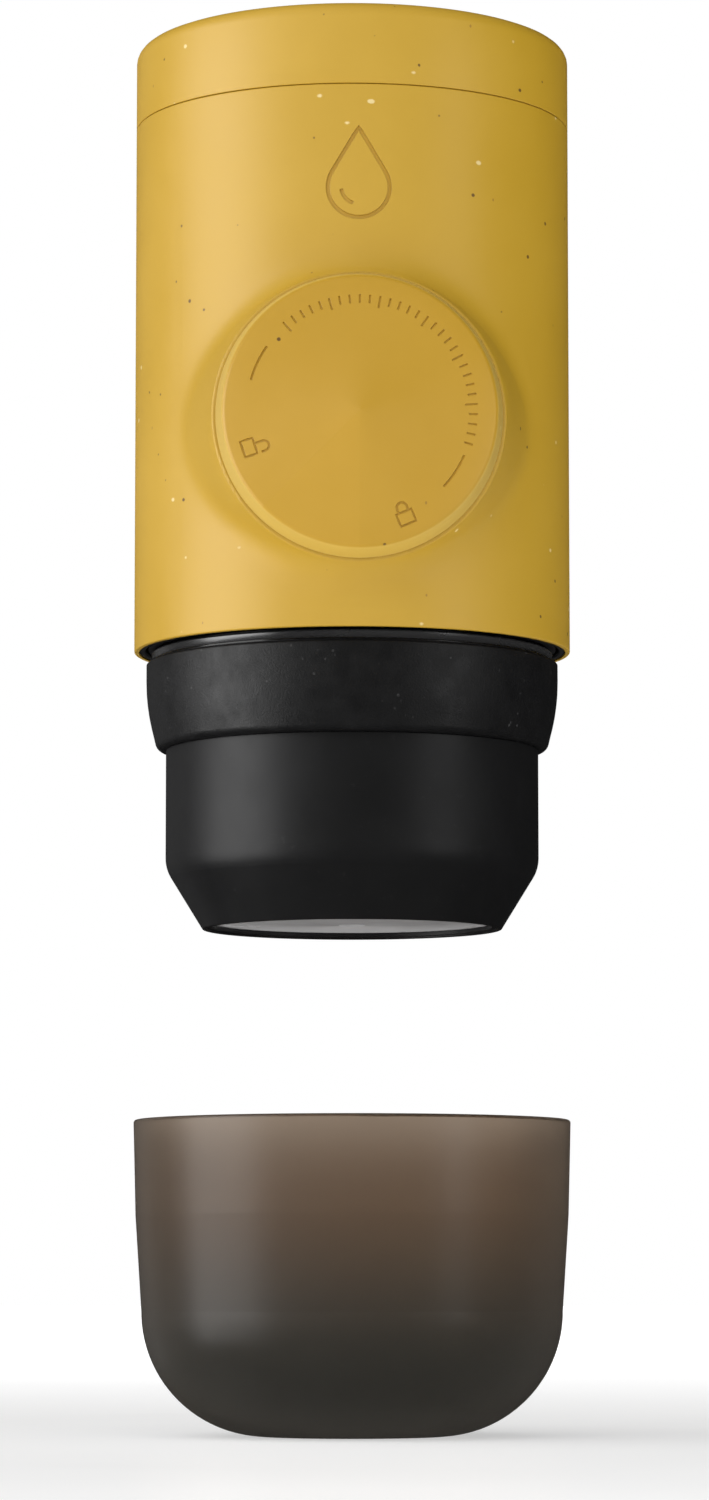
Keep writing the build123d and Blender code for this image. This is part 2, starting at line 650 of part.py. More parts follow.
def bush_screws():
    """Three screws that clamp bush, shell and frame together under the knob."""
    face = BOSS_Y + 0.95 - SEAT_GAP
    end = FRAME_BOSS_Y + 5.5
    screws = []
    for point in around(3, BUSH_SCREW_R, 270):
        screws.append(screw_along_y(face, end, point.X, point.Y, 0.85, SCREW_HEAD_R - 0.15))
    return Compound(children=screws)


def guide_bush():
    """Flanged bush the knob sleeve slides in, with two inward lock pegs."""
    in_r = SLEEVE_R + RUN_GAP
    back = PEG_Y + PEG / 2 + 2.5
    body = lathe_pump(
        [
            (in_r, BOSS_Y),
            (BUSH_FLANGE_R, BOSS_Y),
            (BUSH_FLANGE_R, BOSS_WALL_Y - SEAT_GAP),
            (BUSH_R, BOSS_WALL_Y - SEAT_GAP),
            (BUSH_R, back),
            (in_r, back),
        ]
    )
    half = PEG / in_r * 28.6
    for side in (0, 180):
        peg_in = in_r - PEG_HEIGHT
        body += sector(peg_in, in_r + 0.5, side - half, 2 * half, PEG_Y - PEG / 2, PEG_Y + PEG / 2)
    for point in around(3, BUSH_SCREW_R, 270):
        body -= rod(SCREW_R + 0.2, BOSS_Y - 1, BOSS_Y + 3, point.X, point.Y)
        body -= rod(SCREW_HEAD_R + 0.05, BOSS_Y - 1, BOSS_Y + 0.95, point.X, point.Y)
    return body


def knob_sleeve():
    """Sleeve under the knob, cut with the H-shaped tracks the lock pegs run in."""
    flange_r = KNOB_FACE_R - 1.4
    front = SLEEVE_FRONT_Y
    body = lathe_pump(
        [
            (3.65, RIB_Y),
            (SLEEVE_IN_R, RIB_Y),
            (SLEEVE_IN_R, SLEEVE_END_Y),
            (SLEEVE_R, SLEEVE_END_Y),
            (SLEEVE_R, WEB_Y),
            (flange_r, WEB_Y),
            (flange_r, front),
            (SLEEVE_IN_R - 1.0, front),
            (SLEEVE_IN_R - 1.0, WEB_Y),
            (3.65, WEB_Y),
        ]
    )
    half = (PEG / 2 + RUN_GAP) / SLEEVE_R * 57.3
    near = PEG_Y - PEG / 2 - RUN_GAP
    far = PEG_Y + PEG / 2 + RUN_GAP
    deep = SLEEVE_R + RUN_GAP - PEG_HEIGHT - 0.25
    wide = 2 * half + LOCK_ANGLE
    for side in (0, 180):
        body -= sector(deep, SLEEVE_R + 1, side - half, 2 * half, near, far + PUMP_STROKE)
        body -= sector(deep, SLEEVE_R + 1, side - half, wide, near, far)
        back = near + PUMP_STROKE
        body -= sector(deep, SLEEVE_R + 1, side - half, wide, back, far + PUMP_STROKE)
    return body


def knob_cap():
    """Coloured press button with tapered side, a shallow conical face and ribs behind it."""
    body = lathe_pump(
        [
            (KNOB_R, KNOB_BACK_Y),
            (KNOB_R - 0.15, KNOB_BACK_Y - 1.0),
            (KNOB_FACE_R, KNOB_EDGE_Y),
            (0, KNOB_EDGE_Y - KNOB_CROWN),
            (0, CAVITY_Y),
            (KNOB_FACE_R - 1.3, CAVITY_Y),
            (KNOB_FACE_R - 1.3, KNOB_BACK_Y),
        ]
    )
    edge = [e for e in body.edges().filter_by(GeomType.CIRCLE) if abs(e.radius - KNOB_FACE_R) < 0.01]
    body = fillet(edge, 0.7)
    depth = SLEEVE_FRONT_Y - SEAT_GAP - CAVITY_Y + 0.2
    reach = KNOB_FACE_R - 1.3 - SLEEVE_IN_R + 0.2
    rib = Pos(SLEEVE_IN_R + reach / 2, CAVITY_Y - 0.2 + depth / 2, 0) * Box(reach, depth, RIB)
    for count in range(KNOB_RIBS):
        body += Pos(0, 0, KNOB_Z) * Rot(0, 360 * count / KNOB_RIBS, 0) * rib
    return body


def piston_rod():
    """Rod and grooved plunger head, turned in one piece."""
    shoulder = RIB_Y + 0.2
    head_r = PUMP_BORE_R - SHAFT_GAP
    groove_r = RING_OUT_R - 2 * RING_SECTION - 0.03
    points = [(0, WEB_Y - 0.1), (3.5, WEB_Y - 0.1), (3.5, shoulder), (5.2, shoulder)]
    points += [(5.2, shoulder + 2.0), (3.5, shoulder + 3.0), (3.5, PLUNGER_Y)]
    points += [(head_r, PLUNGER_Y)]
    for middle in ring_stations():
        points += [(head_r, middle - 1.0), (groove_r, middle - 1.0)]
        points += [(groove_r, middle + 1.0), (head_r, middle + 1.0)]
    points += [(head_r, PLUNGER_END_Y), (0, PLUNGER_END_Y)]
    return lathe_pump(points) - rod(SCREW_R + SEAT_GAP, WEB_Y - 1, WEB_Y + 8)


def ring_stations():
    """Where the two O-rings lie along the plunger."""
    return [PLUNGER_Y + PLUNGER_LENGTH * 0.27, PLUNGER_Y + PLUNGER_LENGTH * 0.73]


def piston_orings():
    """Two O-rings on the plunger."""
    mean = RING_OUT_R - RING_SECTION
    rings = [Pos(0, y, KNOB_Z) * Rot(90, 0, 0) * Torus(mean, RING_SECTION) for y in ring_stations()]
    return Compound(children=rings)


def rod_washer():
    """Washer in front of the sleeve's web."""
    back = WEB_Y - 0.15
    return rod(5.5, back - 0.4, back) - rod(SCREW_R + 0.1, back - 1, back + 1)


def rod_screw():
    """Screw that ties the knob sleeve to the rod and lets it turn."""
    return screw_along_y(WEB_Y - 0.6, WEB_Y + 7.0, 0, 0, 1.2, 2.2)


def return_spring():
    """Coil round the liner that pushes the knob out."""
    front = RIB_Y + 0.1
    back = BLOCK_Y - 0.1
    mean = (LINER_R + SLEEVE_IN_R) / 2
    spring = coil(mean, SPRING_WIRE, back - front, SPRING_TURNS)
    return Pos(0, back, KNOB_Z) * Rot(90, 0, 0) * spring


# ---------------------------------------------------------------- valves
def valve_seat(bottom):
    """Ring the poppet closes on from below."""
    ring = disc(VALVE_POCKET_R - SEAT_GAP, bottom, bottom + 2.0 - SEAT_GAP, 0, VALVE_Y)
    return ring - disc(PORT_R - 0.2, bottom - 1, bottom + 3, 0, VALVE_Y)


def poppet(seat_z, stem):
    """Mushroom valve: head under the seat, stem down."""
    top = seat_z - 0.1
    body = disc(VALVE_HEAD_R, top - 1.0, top, 0, VALVE_Y)
    return body + disc(VALVE_STEM_R, top - 1.0 - stem, top - 0.5, 0, VALVE_Y)


def inlet_seat():
    """Seat let into the tank floor."""
    return valve_seat(INLET_SEAT_Z)


def inlet_poppet():
    """Opens on the knob's way out and lets water down into the pump."""
    return poppet(INLET_SEAT_Z, INLET_SEAT_Z - 1.1 - (KNOB_Z + LINER_R) - 1.0)


def inlet_spring():
    """Light coil that closes the inlet poppet."""
    bottom = KNOB_Z + LINER_R + 0.1
    length = INLET_SEAT_Z - 1.15 - bottom
    return Pos(0, VALVE_Y, bottom) * coil(VALVE_HEAD_R - 0.5, VALVE_WIRE, length, VALVE_TURNS)


def inlet_strainer():
    """Perforated cover over the inlet, on the tank floor."""
    bottom = FLOOR_TOP + SEAT_GAP
    body = lathe(
        [
            (0, bottom + 1.8),
            (3.5, bottom + 1.8),
            (4.3, bottom + 1.0),
            (4.3, bottom),
            (5.8, bottom),
            (5.8, bottom + 0.6),
            (4.9, bottom + 0.6),
            (4.9, bottom + 1.3),
            (3.8, bottom + 2.4),
            (0, bottom + 2.4),
        ]
    )
    body = Pos(0, VALVE_Y, 0) * body
    for point in around(6, 2.3):
        body -= disc(0.5, bottom, bottom + 3, point.X, VALVE_Y + point.Y)
    return body - disc(0.5, bottom, bottom + 3, 0, VALVE_Y)


def outlet_seat():
    """Seat under the pump cylinder."""
    return valve_seat(OUTLET_SEAT_Z)


def outlet_poppet():
    """Opens on the press and lets water through to the shower screen."""
    return poppet(OUTLET_SEAT_Z, OUTLET_SEAT_Z - 1.1 - RETAINER_Z - 1.4)


def outlet_spring():
    """Light coil that closes the outlet poppet."""
    bottom = RETAINER_Z + 2.05
    length = OUTLET_SEAT_Z - 1.15 - bottom
    return Pos(0, VALVE_Y, bottom) * coil(VALVE_HEAD_R - 0.5, VALVE_WIRE, length, VALVE_TURNS)


def outlet_retainer():
    """Drilled plug that carries the outlet spring and guides the stem."""
    body = disc(VALVE_POCKET_R - SEAT_GAP, RETAINER_Z, RETAINER_Z + 2.0, 0, VALVE_Y)
    body -= disc(VALVE_STEM_R + 0.3, RETAINER_Z - 1, RETAINER_Z + 3, 0, VALVE_Y)
    for point in around(4, 2.7, 45):
        body -= disc(0.7, RETAINER_Z - 1, RETAINER_Z + 3, point.X, VALVE_Y + point.Y)
    return body


def shower_screen():
    """Perforated disc that spreads the water over the coffee."""
    body = disc(SCREEN_R, SCREEN_Z, SCREEN_Z + SCREEN_WALL)
    body -= disc(SCREW_R + 0.4, SCREEN_Z - 1, SCREEN_Z + 2)
    return body - perforation(SCREEN_R, SCREEN_Z, SCREEN_Z + SCREEN_WALL, 0.8)


def screen_screw():
    """Screw that holds the screen to the brew ceiling."""
    top = SCREEN_Z - SEAT_GAP
    head = disc(3.0, top - 1.2, top) - Pos(0, 0, top - 1.2) * Box(7, 0.7, 1.0)
    return head + disc(SCREW_R + 0.2, top - 0.1, CEILING_TOP + 2.0)


PARTS = {
    "cup": cup,
    "outlet_bowl": outlet_bowl,
    "grip_collar": grip_collar,
    "filter_basket": filter_basket,
    "collector_funnel": collector_funnel,
    "spout_plate": spout_plate,
    "spout_seal": spout_seal,
    "brew_gasket": brew_gasket,
    "tank_socket": tank_socket,
    "inner_frame": inner_frame,
    "head_socket": head_socket,
    "outer_shell": outer_shell,
    "guide_bush": guide_bush,
    "bush_screws": bush_screws,
    "pump_cylinder": pump_cylinder,
    "cylinder_cap": cylinder_cap,
    "cap_seal": cap_seal,
    "cap_screws": cap_screws,
    "knob_cap": knob_cap,
    "knob_sleeve": knob_sleeve,
    "piston_rod": piston_rod,
    "piston_orings": piston_orings,
    "rod_washer": rod_washer,
    "rod_screw": rod_screw,
    "return_spring": return_spring,
    "inlet_strainer": inlet_strainer,
    "inlet_seat": inlet_seat,
    "inlet_poppet": inlet_poppet,
    "inlet_spring": inlet_spring,
    "outlet_seat": outlet_seat,
    "outlet_poppet": outlet_poppet,
    "outlet_spring": outlet_spring,
    "outlet_retainer": outlet_retainer,
    "shower_screen": shower_screen,
    "screen_screw": screen_screw,
    "tank_cap": tank_cap,
    "tank_vessel": tank_vessel,
    "tank_gasket": tank_gasket,
}

for name, make in PARTS.items():
    export_step(make(), "parts/" + name + ".step")
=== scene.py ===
import json
import math

import bmesh
import bpy
from mathutils import Matrix, Vector

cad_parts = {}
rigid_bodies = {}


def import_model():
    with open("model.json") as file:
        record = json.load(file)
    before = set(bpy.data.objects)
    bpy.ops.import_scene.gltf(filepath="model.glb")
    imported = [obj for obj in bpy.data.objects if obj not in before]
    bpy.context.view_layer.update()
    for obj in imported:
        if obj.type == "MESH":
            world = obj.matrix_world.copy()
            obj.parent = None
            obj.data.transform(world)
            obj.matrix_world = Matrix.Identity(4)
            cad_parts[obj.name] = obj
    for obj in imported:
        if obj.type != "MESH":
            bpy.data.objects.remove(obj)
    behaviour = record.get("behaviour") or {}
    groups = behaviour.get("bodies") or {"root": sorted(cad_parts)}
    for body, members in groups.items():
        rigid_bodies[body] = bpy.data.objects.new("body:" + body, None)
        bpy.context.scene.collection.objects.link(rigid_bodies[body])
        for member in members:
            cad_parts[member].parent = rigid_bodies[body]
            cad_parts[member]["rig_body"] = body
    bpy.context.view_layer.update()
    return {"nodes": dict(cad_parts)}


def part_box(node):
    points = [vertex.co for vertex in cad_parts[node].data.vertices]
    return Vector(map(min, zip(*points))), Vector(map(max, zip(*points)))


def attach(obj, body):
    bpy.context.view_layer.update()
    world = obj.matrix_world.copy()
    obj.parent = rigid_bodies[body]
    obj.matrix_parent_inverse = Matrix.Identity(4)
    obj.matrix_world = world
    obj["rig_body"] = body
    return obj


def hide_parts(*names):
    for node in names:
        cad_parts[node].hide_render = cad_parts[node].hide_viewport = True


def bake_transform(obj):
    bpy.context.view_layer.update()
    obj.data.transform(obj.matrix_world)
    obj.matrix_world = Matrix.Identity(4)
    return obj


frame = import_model()
MM = 0.001

# ---------------------------------------------------------------- the studio
# The maker hangs in the air as if held, above its cup on a pale table. A long lens
# looks up at it from the front. Soft windows to the left, to the right and behind the
# left edge add only sheen, and the room is white.
CAMERA_PLACE = (-0.0218, -0.7293, 0.0221)
LOOKS_UP, LOOKS_RIGHT = 6.08, 1.74  # degrees
front_lens = bpy.data.cameras.new("front_camera")
front_lens.lens = 120
front_lens.sensor_width = 36
front_lens.clip_start = 0.05
front_lens.clip_end = 50
front_camera = bpy.data.objects.new("front_camera", front_lens)
front_camera.location = CAMERA_PLACE
front_camera.rotation_euler = (math.radians(90 + LOOKS_UP), 0, math.radians(-LOOKS_RIGHT))
bpy.context.scene.collection.objects.link(front_camera)
bpy.context.scene.camera = front_camera
bpy.context.scene.view_settings.view_transform = "Standard"


def graph(tree, kind, inputs=None, **settings):
    """One shader node; an input given as another node's output is wired up."""
    made = tree.nodes.new("ShaderNode" + kind)
    for key, value in settings.items():
        setattr(made, key, value)
    for key, value in (inputs or {}).items():
        if isinstance(value, bpy.types.NodeSocket):
            tree.links.new(value, made.inputs[key])
        else:
            made.inputs[key].default_value = value
    return made


def reckon(tree, operation, *values):
    """A sum worked out at each point."""
    return graph(tree, "Math", dict(enumerate(values)), operation=operation).outputs[0]


def ranged(tree, value, start, end, low=0.0, high=1.0, **settings):
    """A value between start and end, stretched to lie between low and high."""
    stretch = graph(tree, "MapRange", {"Value": value, "From Min": start, "From Max": end,
                                       "To Min": low, "To Max": high}, **settings)
    return stretch.outputs["Result"]


def mixed(tree, share, first, second, kind="FLOAT"):
    """A number, direction or colour between two others."""
    at = {"FLOAT": 2, "VECTOR": 4, "RGBA": 6}[kind]
    mix = graph(tree, "Mix", {"Factor": share, at: first, at + 1: second}, data_type=kind)
    return mix.outputs[at // 2 - 1]


def noise(tree, place, scale, detail, roughness=0.5):
    """Cloudy noise, its scale in waves per metre."""
    inputs = {"Vector": place, "Scale": scale, "Detail": detail, "Roughness": roughness}
    return graph(tree, "TexNoise", inputs).outputs["Fac"]


LIT_FROM = (-0.81, -0.58, 0.10)  # where the room is brightest
BRIGHT_END, DARK_END = 1.56, -0.30  # its strength there and opposite, where it takes light away
MIRRORED_ROOM = 0.02  # its strength in reflections


def room_light():
    """White where it is seen, straight or through the cup. What lights the surfaces is brightest
    from the front left, and what mirrors in them is a dim studio."""
    room = bpy.data.worlds.new("white_room")
    room.use_nodes = True
    bpy.context.scene.world = room
    tree = room.node_tree
    background = tree.nodes["Background"]
    background.inputs["Color"].default_value = (1.0, 1.0, 1.0, 1)
    direction = graph(tree, "TexCoord").outputs["Generated"]
    facing = graph(tree, "VectorMath", {0: direction, 1: LIT_FROM}, operation="DOT_PRODUCT")
    shade = ranged(tree, facing.outputs["Value"], -1.0, 1.0, DARK_END, BRIGHT_END)
    path = graph(tree, "LightPath")
    unseen = mixed(tree, path.outputs["Is Glossy Ray"], shade, MIRRORED_ROOM)
    seen = reckon(tree, "MAXIMUM", path.outputs["Is Camera Ray"], path.outputs["Is Transmission Ray"])
    tree.links.new(mixed(tree, seen, unseen, 1.0), background.inputs["Strength"])


def soft_window(name, angle, distance, width, tall, height, power):
    """Upright soft light that adds only sheen, its angle counted from the front towards the right."""
    lamp = bpy.data.lights.new(name, "AREA")
    lamp.shape = "RECTANGLE"
    lamp.size, lamp.size_y = width, tall
    lamp.energy = power
    stand = bpy.data.objects.new(name, lamp)
    turn = math.radians(angle)
    stand.location = (math.sin(turn) * distance, -math.cos(turn) * distance, height)
    aim = Vector((0, 0, height)) - Vector(stand.location)
    stand.rotation_euler = aim.to_track_quat("-Z", "Y").to_euler()
    stand.visible_diffuse = False
    bpy.context.scene.collection.objects.link(stand)


room_light()
soft_window("left_window", angle=-74, distance=0.70, width=0.56, tall=0.80, height=0.16, power=4.2)
soft_window("right_window", angle=54, distance=0.75, width=0.16, tall=0.60, height=0.15, power=0.7)
soft_window("left_rim", angle=-142, distance=0.80, width=0.34, tall=0.80, height=0.16, power=0.12)

TABLE_HALF = 4.0  # metres, far larger than the view
TABLE_LOW = -0.03 * MM  # just under the cup's foot, so that the two never share a plane
GLOW_NEAR, GLOW_FAR = 0.12, 0.9  # metres from the cup, between which the table fades into the room


def table_top():
    """Pale satin table, glowing more towards its far edge so that it melts into the white room."""
    sheet = bpy.data.meshes.new("table_top")
    corners = [(x * TABLE_HALF, y * TABLE_HALF, TABLE_LOW) for x, y in ((-1, -1), (1, -1), (1, 1), (-1, 1))]
    sheet.from_pydata(corners, [], [(0, 1, 2, 3)])
    top = bpy.data.objects.new("table_top", sheet)
    bpy.context.scene.collection.objects.link(top)
    paint = bpy.data.materials.new("table_paint")
    paint.use_nodes = True
    tree = paint.node_tree
    shader = tree.nodes["Principled BSDF"]
    shader.inputs["Base Color"].default_value = (0.93, 0.93, 0.93, 1)
    shader.inputs["Emission Color"].default_value = (1.0, 1.0, 1.0, 1)
    place = graph(tree, "TexCoord").outputs["Object"]
    sheen = ranged(tree, noise(tree, place, 9.0, 3.0), 0.0, 1.0, 0.20, 0.30)
    tree.links.new(sheen, shader.inputs["Roughness"])
    far = graph(tree, "VectorMath", {0: place}, operation="LENGTH").outputs["Value"]
    glow = ranged(tree, far, GLOW_NEAR, GLOW_FAR, 0.50, 0.95)
    tree.links.new(glow, shader.inputs["Emission Strength"])
    sheet.materials.append(paint)
    top.visible_glossy = False


table_top()

# ---------------------------------------------------------------- inner frame
# One black glass-filled moulding that everything is screwed to: tank floor, pump
# block and brew ceiling, with a four-start female thread above for the tank and
# a three-start one below for the brew head.
def new_finish(name, colour, metallic=0.0):
    """An empty finish with its shader, and where on the object each point lies."""
    finish = bpy.data.materials.new(name)
    finish.use_nodes = True
    shader = finish.node_tree.nodes["Principled BSDF"]
    shader.inputs["Base Color"].default_value = (*colour, 1)
    shader.inputs["Metallic"].default_value = metallic
    place = graph(finish.node_tree, "TexCoord").outputs["Object"]
    return finish, shader, place


def toned(tree, share, first, second):
    """Colour between two others, each a colour or another node's output."""
    ends = [c if isinstance(c, bpy.types.NodeSocket) else (*c, 1) for c in (first, second)]
    return mixed(tree, share, *ends, "RGBA")


def eased(tree, radius, samples=4):
    """Normal with its sharp edges rounded off by so many millimetres."""
    return graph(tree, "Bevel", {"Radius": radius * MM}, samples=samples).outputs["Normal"]


def raised(tree, height, strength, distance, normal=None):
    """Normal of a fine relief, laid over another one."""
    inputs = {"Height": height, "Strength": strength, "Distance": distance}
    if normal is not None:
        inputs["Normal"] = normal
    return graph(tree, "Bump", inputs).outputs["Normal"]


def from_middle(tree, place, centre, plane):
    """Which way and how far a point lies from a middle point, seen flat in one plane."""
    away = graph(tree, "VectorMath", {0: place, 1: centre}, operation="SUBTRACT")
    flat = graph(tree, "VectorMath", {0: away.outputs[0], 1: plane}, operation="MULTIPLY")
    reach = graph(tree, "VectorMath", {0: flat.outputs[0]}, operation="LENGTH")
    return flat.outputs[0], reach.outputs["Value"]


GLAZED = 0.16  # roughness of polished plastic


def moulded_plastic(name, colour, roughness, depth, grain=0.3, tone=0.18, dust=0.10,
                    glazed_above=None, dish=None):
    """Moulded plastic with mould grain, flow clouds and specks of dust. It may be polished above a
    height, or lean as a dish of some slope about the upright axis. Sizes are in millimetres."""
    finish, shader, place = new_finish(name, colour)
    tree = finish.node_tree
    clouds = noise(tree, place, 60.0, 4.0, 0.6)
    darker = tuple(c * (1 - tone) for c in colour)
    lighter = tuple(c * (1 + tone) + 0.004 for c in colour)
    dusty = tuple(c + (0.5 - c) * dust for c in colour)
    specks = ranged(tree, noise(tree, place, 700.0, 5.0, 0.7), 0.62, 0.78)
    tint = toned(tree, specks, toned(tree, clouds, darker, lighter), dusty)
    tree.links.new(tint, shader.inputs["Base Color"])
    gloss = ranged(tree, clouds, 0.3, 0.7, roughness - 0.05, roughness + 0.06)
    if glazed_above is not None:
        height = graph(tree, "SeparateXYZ", {"Vector": place}).outputs["Z"]
        bare = reckon(tree, "LESS_THAN", height, glazed_above * MM)
        gloss = mixed(tree, bare, GLAZED, gloss)
    tree.links.new(gloss, shader.inputs["Roughness"])
    normal = eased(tree, 0.15)
    if dish is not None:
        reach = from_middle(tree, place, (0, 0, 0), (1, 1, 0))[1]
        normal = raised(tree, reckon(tree, "MULTIPLY", reach, dish), 1.0, 1.0, normal)
    pits = noise(tree, place, 1 / (grain * MM), 2.0)
    tree.links.new(raised(tree, pits, 0.6, depth * MM, normal), shader.inputs["Normal"])
    return finish


def dress(finish, *nodes):
    """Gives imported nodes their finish."""
    for node in nodes:
        mesh = frame["nodes"][node].data
        mesh.materials.clear()
        mesh.materials.append(finish)


def add_piece(name, mesh, finish, slot, *stands_for, body=None):
    """A new piece of one finish, riding on the named body or on that of the node it stands for."""
    piece = bpy.data.objects.new(name, mesh)
    bpy.context.scene.collection.objects.link(piece)
    mesh.materials.append(finish)
    home = frame["nodes"][stands_for[0]]["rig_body"] if body is None else body
    if home:
        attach(piece, home)
    if stands_for:
        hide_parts(*stands_for)
    return piece


def as_mesh(name, points, faces, crease=30):
    """A mesh with outward normals, smooth up to the crease angle."""
    mesh = bpy.data.meshes.new(name)
    mesh.from_pydata(points, [], faces)
    shape = bmesh.new()
    shape.from_mesh(mesh)
    bmesh.ops.recalc_face_normals(shape, faces=shape.faces)
    shape.to_mesh(mesh)
    shape.free()
    mesh.shade_smooth()
    mesh.set_sharp_from_angle(angle=math.radians(crease))
    return mesh


RIDGE_SUNK = 0.08  # how deep a thread's foot lies in its wall
RIDGE_RUN_OUT = 0.30  # radians over which a thread rises at each end
RIDGE_CREST = 0.44  # width of a thread's crest, as a share of its foot
STATIONS = 24  # sections of a thread in one radian


def thread_ridges(name, finish, slot, body, wall, crest, width, lead, starts, low, high, first):
    """Screw-thread ridges wound up a round wall, in millimetres, each run out at both ends."""
    points, faces = [], []
    sweep = 2 * math.pi * (high - low) / lead
    stations = max(STATIONS, round(sweep * STATIONS))
    foot = wall - math.copysign(RIDGE_SUNK, crest - wall)
    half, half_crest = width / 2, width * RIDGE_CREST / 2
    for start in range(starts):
        base = len(points)
        for step in range(stations + 1):
            share = step / stations
            fade = min(1.0, share * sweep / RIDGE_RUN_OUT, (1 - share) * sweep / RIDGE_RUN_OUT)
            fade = fade * fade * (3 - 2 * fade)
            top = foot + (crest - foot) * max(fade, 0.02)
            turn = first + 2 * math.pi * start / starts + sweep * share
            z = low + (high - low) * share
            for r, rise in ((foot, -half), (top, -half_crest), (top, half_crest), (foot, half)):
                points.append((r * math.cos(turn) * MM, r * math.sin(turn) * MM, (z + rise) * MM))
        for step in range(stations):
            for side in range(4):
                a = base + 4 * step + side
                b = base + 4 * step + (side + 1) % 4
                faces.append((a, b, b + 4, a + 4))
        end = base + 4 * stations
        faces += [(base, base + 3, base + 2, base + 1), (end, end + 1, end + 2, end + 3)]
    return add_piece(name, as_mesh(name, points, faces), finish, slot, body=body)


frame_black = moulded_plastic("frame_black", (0.018, 0.018, 0.020), roughness=0.42, depth=0.012, grain=0.25)
dress(frame_black, "tank_socket", "inner_frame", "head_socket")

# The female threads stand half a pitch from the male ones, so that the flanks run free.
SOCKET_WALL = 28.7
TANK_LEAD, TANK_STARTS, TANK_RIDGE = 18.0, 4, 1.6
HEAD_LEAD, HEAD_STARTS, HEAD_RIDGE = 12.0, 3, 1.4
tank_thread_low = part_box("tank_vessel")[0].z / MM + 3.0
thread_ridges("tank_socket_thread", frame_black, "frame_plastic", "housing", wall=SOCKET_WALL, crest=28.02,
              width=TANK_RIDGE, lead=TANK_LEAD, starts=TANK_STARTS,
              low=tank_thread_low, high=tank_thread_low + 7.0, first=math.pi / TANK_STARTS)
head_thread_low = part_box("head_socket")[0].z / MM + 1.4
thread_ridges("head_socket_thread", frame_black, "frame_plastic", "housing", wall=SOCKET_WALL, crest=28.12,
              width=HEAD_RIDGE, lead=HEAD_LEAD, starts=HEAD_STARTS,
              low=head_thread_low, high=head_thread_low + 5.0, first=math.pi / HEAD_STARTS)

# ---------------------------------------------------------------- pump cylinder
# Turned stainless liner let into the block, closed behind by a black moulded cap on a
# silicone ring. Four zinc-plated screws, slotted pan heads, hold the cap.
def turned_steel(name, colour, roughness, spread, coarse=1.0):
    """Metal with fine lathe or drawing lines; spread squeezes the lines along x, y and z."""
    finish, shader, place = new_finish(name, colour, 1.0)
    tree = finish.node_tree
    run = graph(tree, "Mapping", {"Vector": place, "Scale": spread}).outputs[0]
    lines = noise(tree, run, 900.0 / coarse, 3.0)
    wear_and_painted_rim_highlight = ranged(tree, lines, 0.3, 0.7, roughness - 0.06, roughness + 0.10)
    tree.links.new(wear_and_painted_rim_highlight, shader.inputs["Roughness"])
    stains = noise(tree, place, 140.0, 5.0, 0.65)
    dull = tuple(c * 0.72 for c in colour)
    tree.links.new(toned(tree, stains, dull, colour), shader.inputs["Base Color"])
    normal = raised(tree, lines, 0.35, 0.006 * MM, eased(tree, 0.08))
    tree.links.new(normal, shader.inputs["Normal"])
    return finish


def soft_rubber(name, colour, roughness, grain, depth, fleck, blotch=0.07):
    """Matt rubber: mottled, finely pitted, with pale lint or filler flecks. Blotch is how far the
    mottling changes the gloss, and sizes are in millimetres."""
    finish, shader, place = new_finish(name, colour)
    tree = finish.node_tree
    mottle = noise(tree, place, 260.0, 6.0, 0.7)
    cells = graph(tree, "TexVoronoi", {"Vector": place, "Scale": 620.0})
    spots = ranged(tree, cells.outputs["Distance"], 0.10, 0.16, 1.0, 0.0)
    chosen = ranged(tree, mottle, 0.50, 0.60)
    low = tuple(c * 0.75 for c in colour)
    high = tuple(c * 1.30 + 0.002 for c in colour)
    lint = tuple(min(1.0, c + fleck) for c in colour)
    tint = toned(tree, reckon(tree, "MULTIPLY", spots, chosen), toned(tree, mottle, low, high), lint)
    tree.links.new(tint, shader.inputs["Base Color"])
    rub = ranged(tree, mottle, 0.3, 0.7, roughness - blotch, roughness + blotch)
    tree.links.new(rub, shader.inputs["Roughness"])
    pits = noise(tree, place, 1 / (grain * MM), 3.0, 0.6)
    tree.links.new(raised(tree, pits, 0.7, depth * MM, eased(tree, 0.25)), shader.inputs["Normal"])
    return finish


def separate_pieces(node):
    """Lowest and highest corner of each loose piece in a node."""
    shape = bmesh.new()
    shape.from_mesh(frame["nodes"][node].data)
    bmesh.ops.remove_doubles(shape, verts=shape.verts, dist=1e-6)
    left, boxes = set(shape.verts), []
    while left:
        seed = left.pop()
        group, edge_on = [seed], [seed]
        while edge_on:
            for link in edge_on.pop().link_edges:
                for vert in link.verts:
                    if vert in left:
                        left.discard(vert)
                        group.append(vert)
                        edge_on.append(vert)
        boxes.append((Vector(min(v.co[i] for v in group) for i in range(3)),
                      Vector(max(v.co[i] for v in group) for i in range(3))))
    shape.free()
    return sorted(boxes, key=lambda b: (round(b[0].x, 5), round(b[0].z, 5)))


# A pan head's outline, from its crown to its underside, as shares of its radius and its height.
PAN_HEAD = ((0.30, 0.0), (0.62, 0.05), (0.86, 0.18), (0.97, 0.38), (1.0, 0.60), (1.0, 0.94), (0.97, 1.0))
SCREW_PITCH = 0.5
SCREW_SIDES = 32
THREAD_DEPTH = 0.22  # of the shank's radius
SLOT_FLOOR = 0.45  # of the head's height


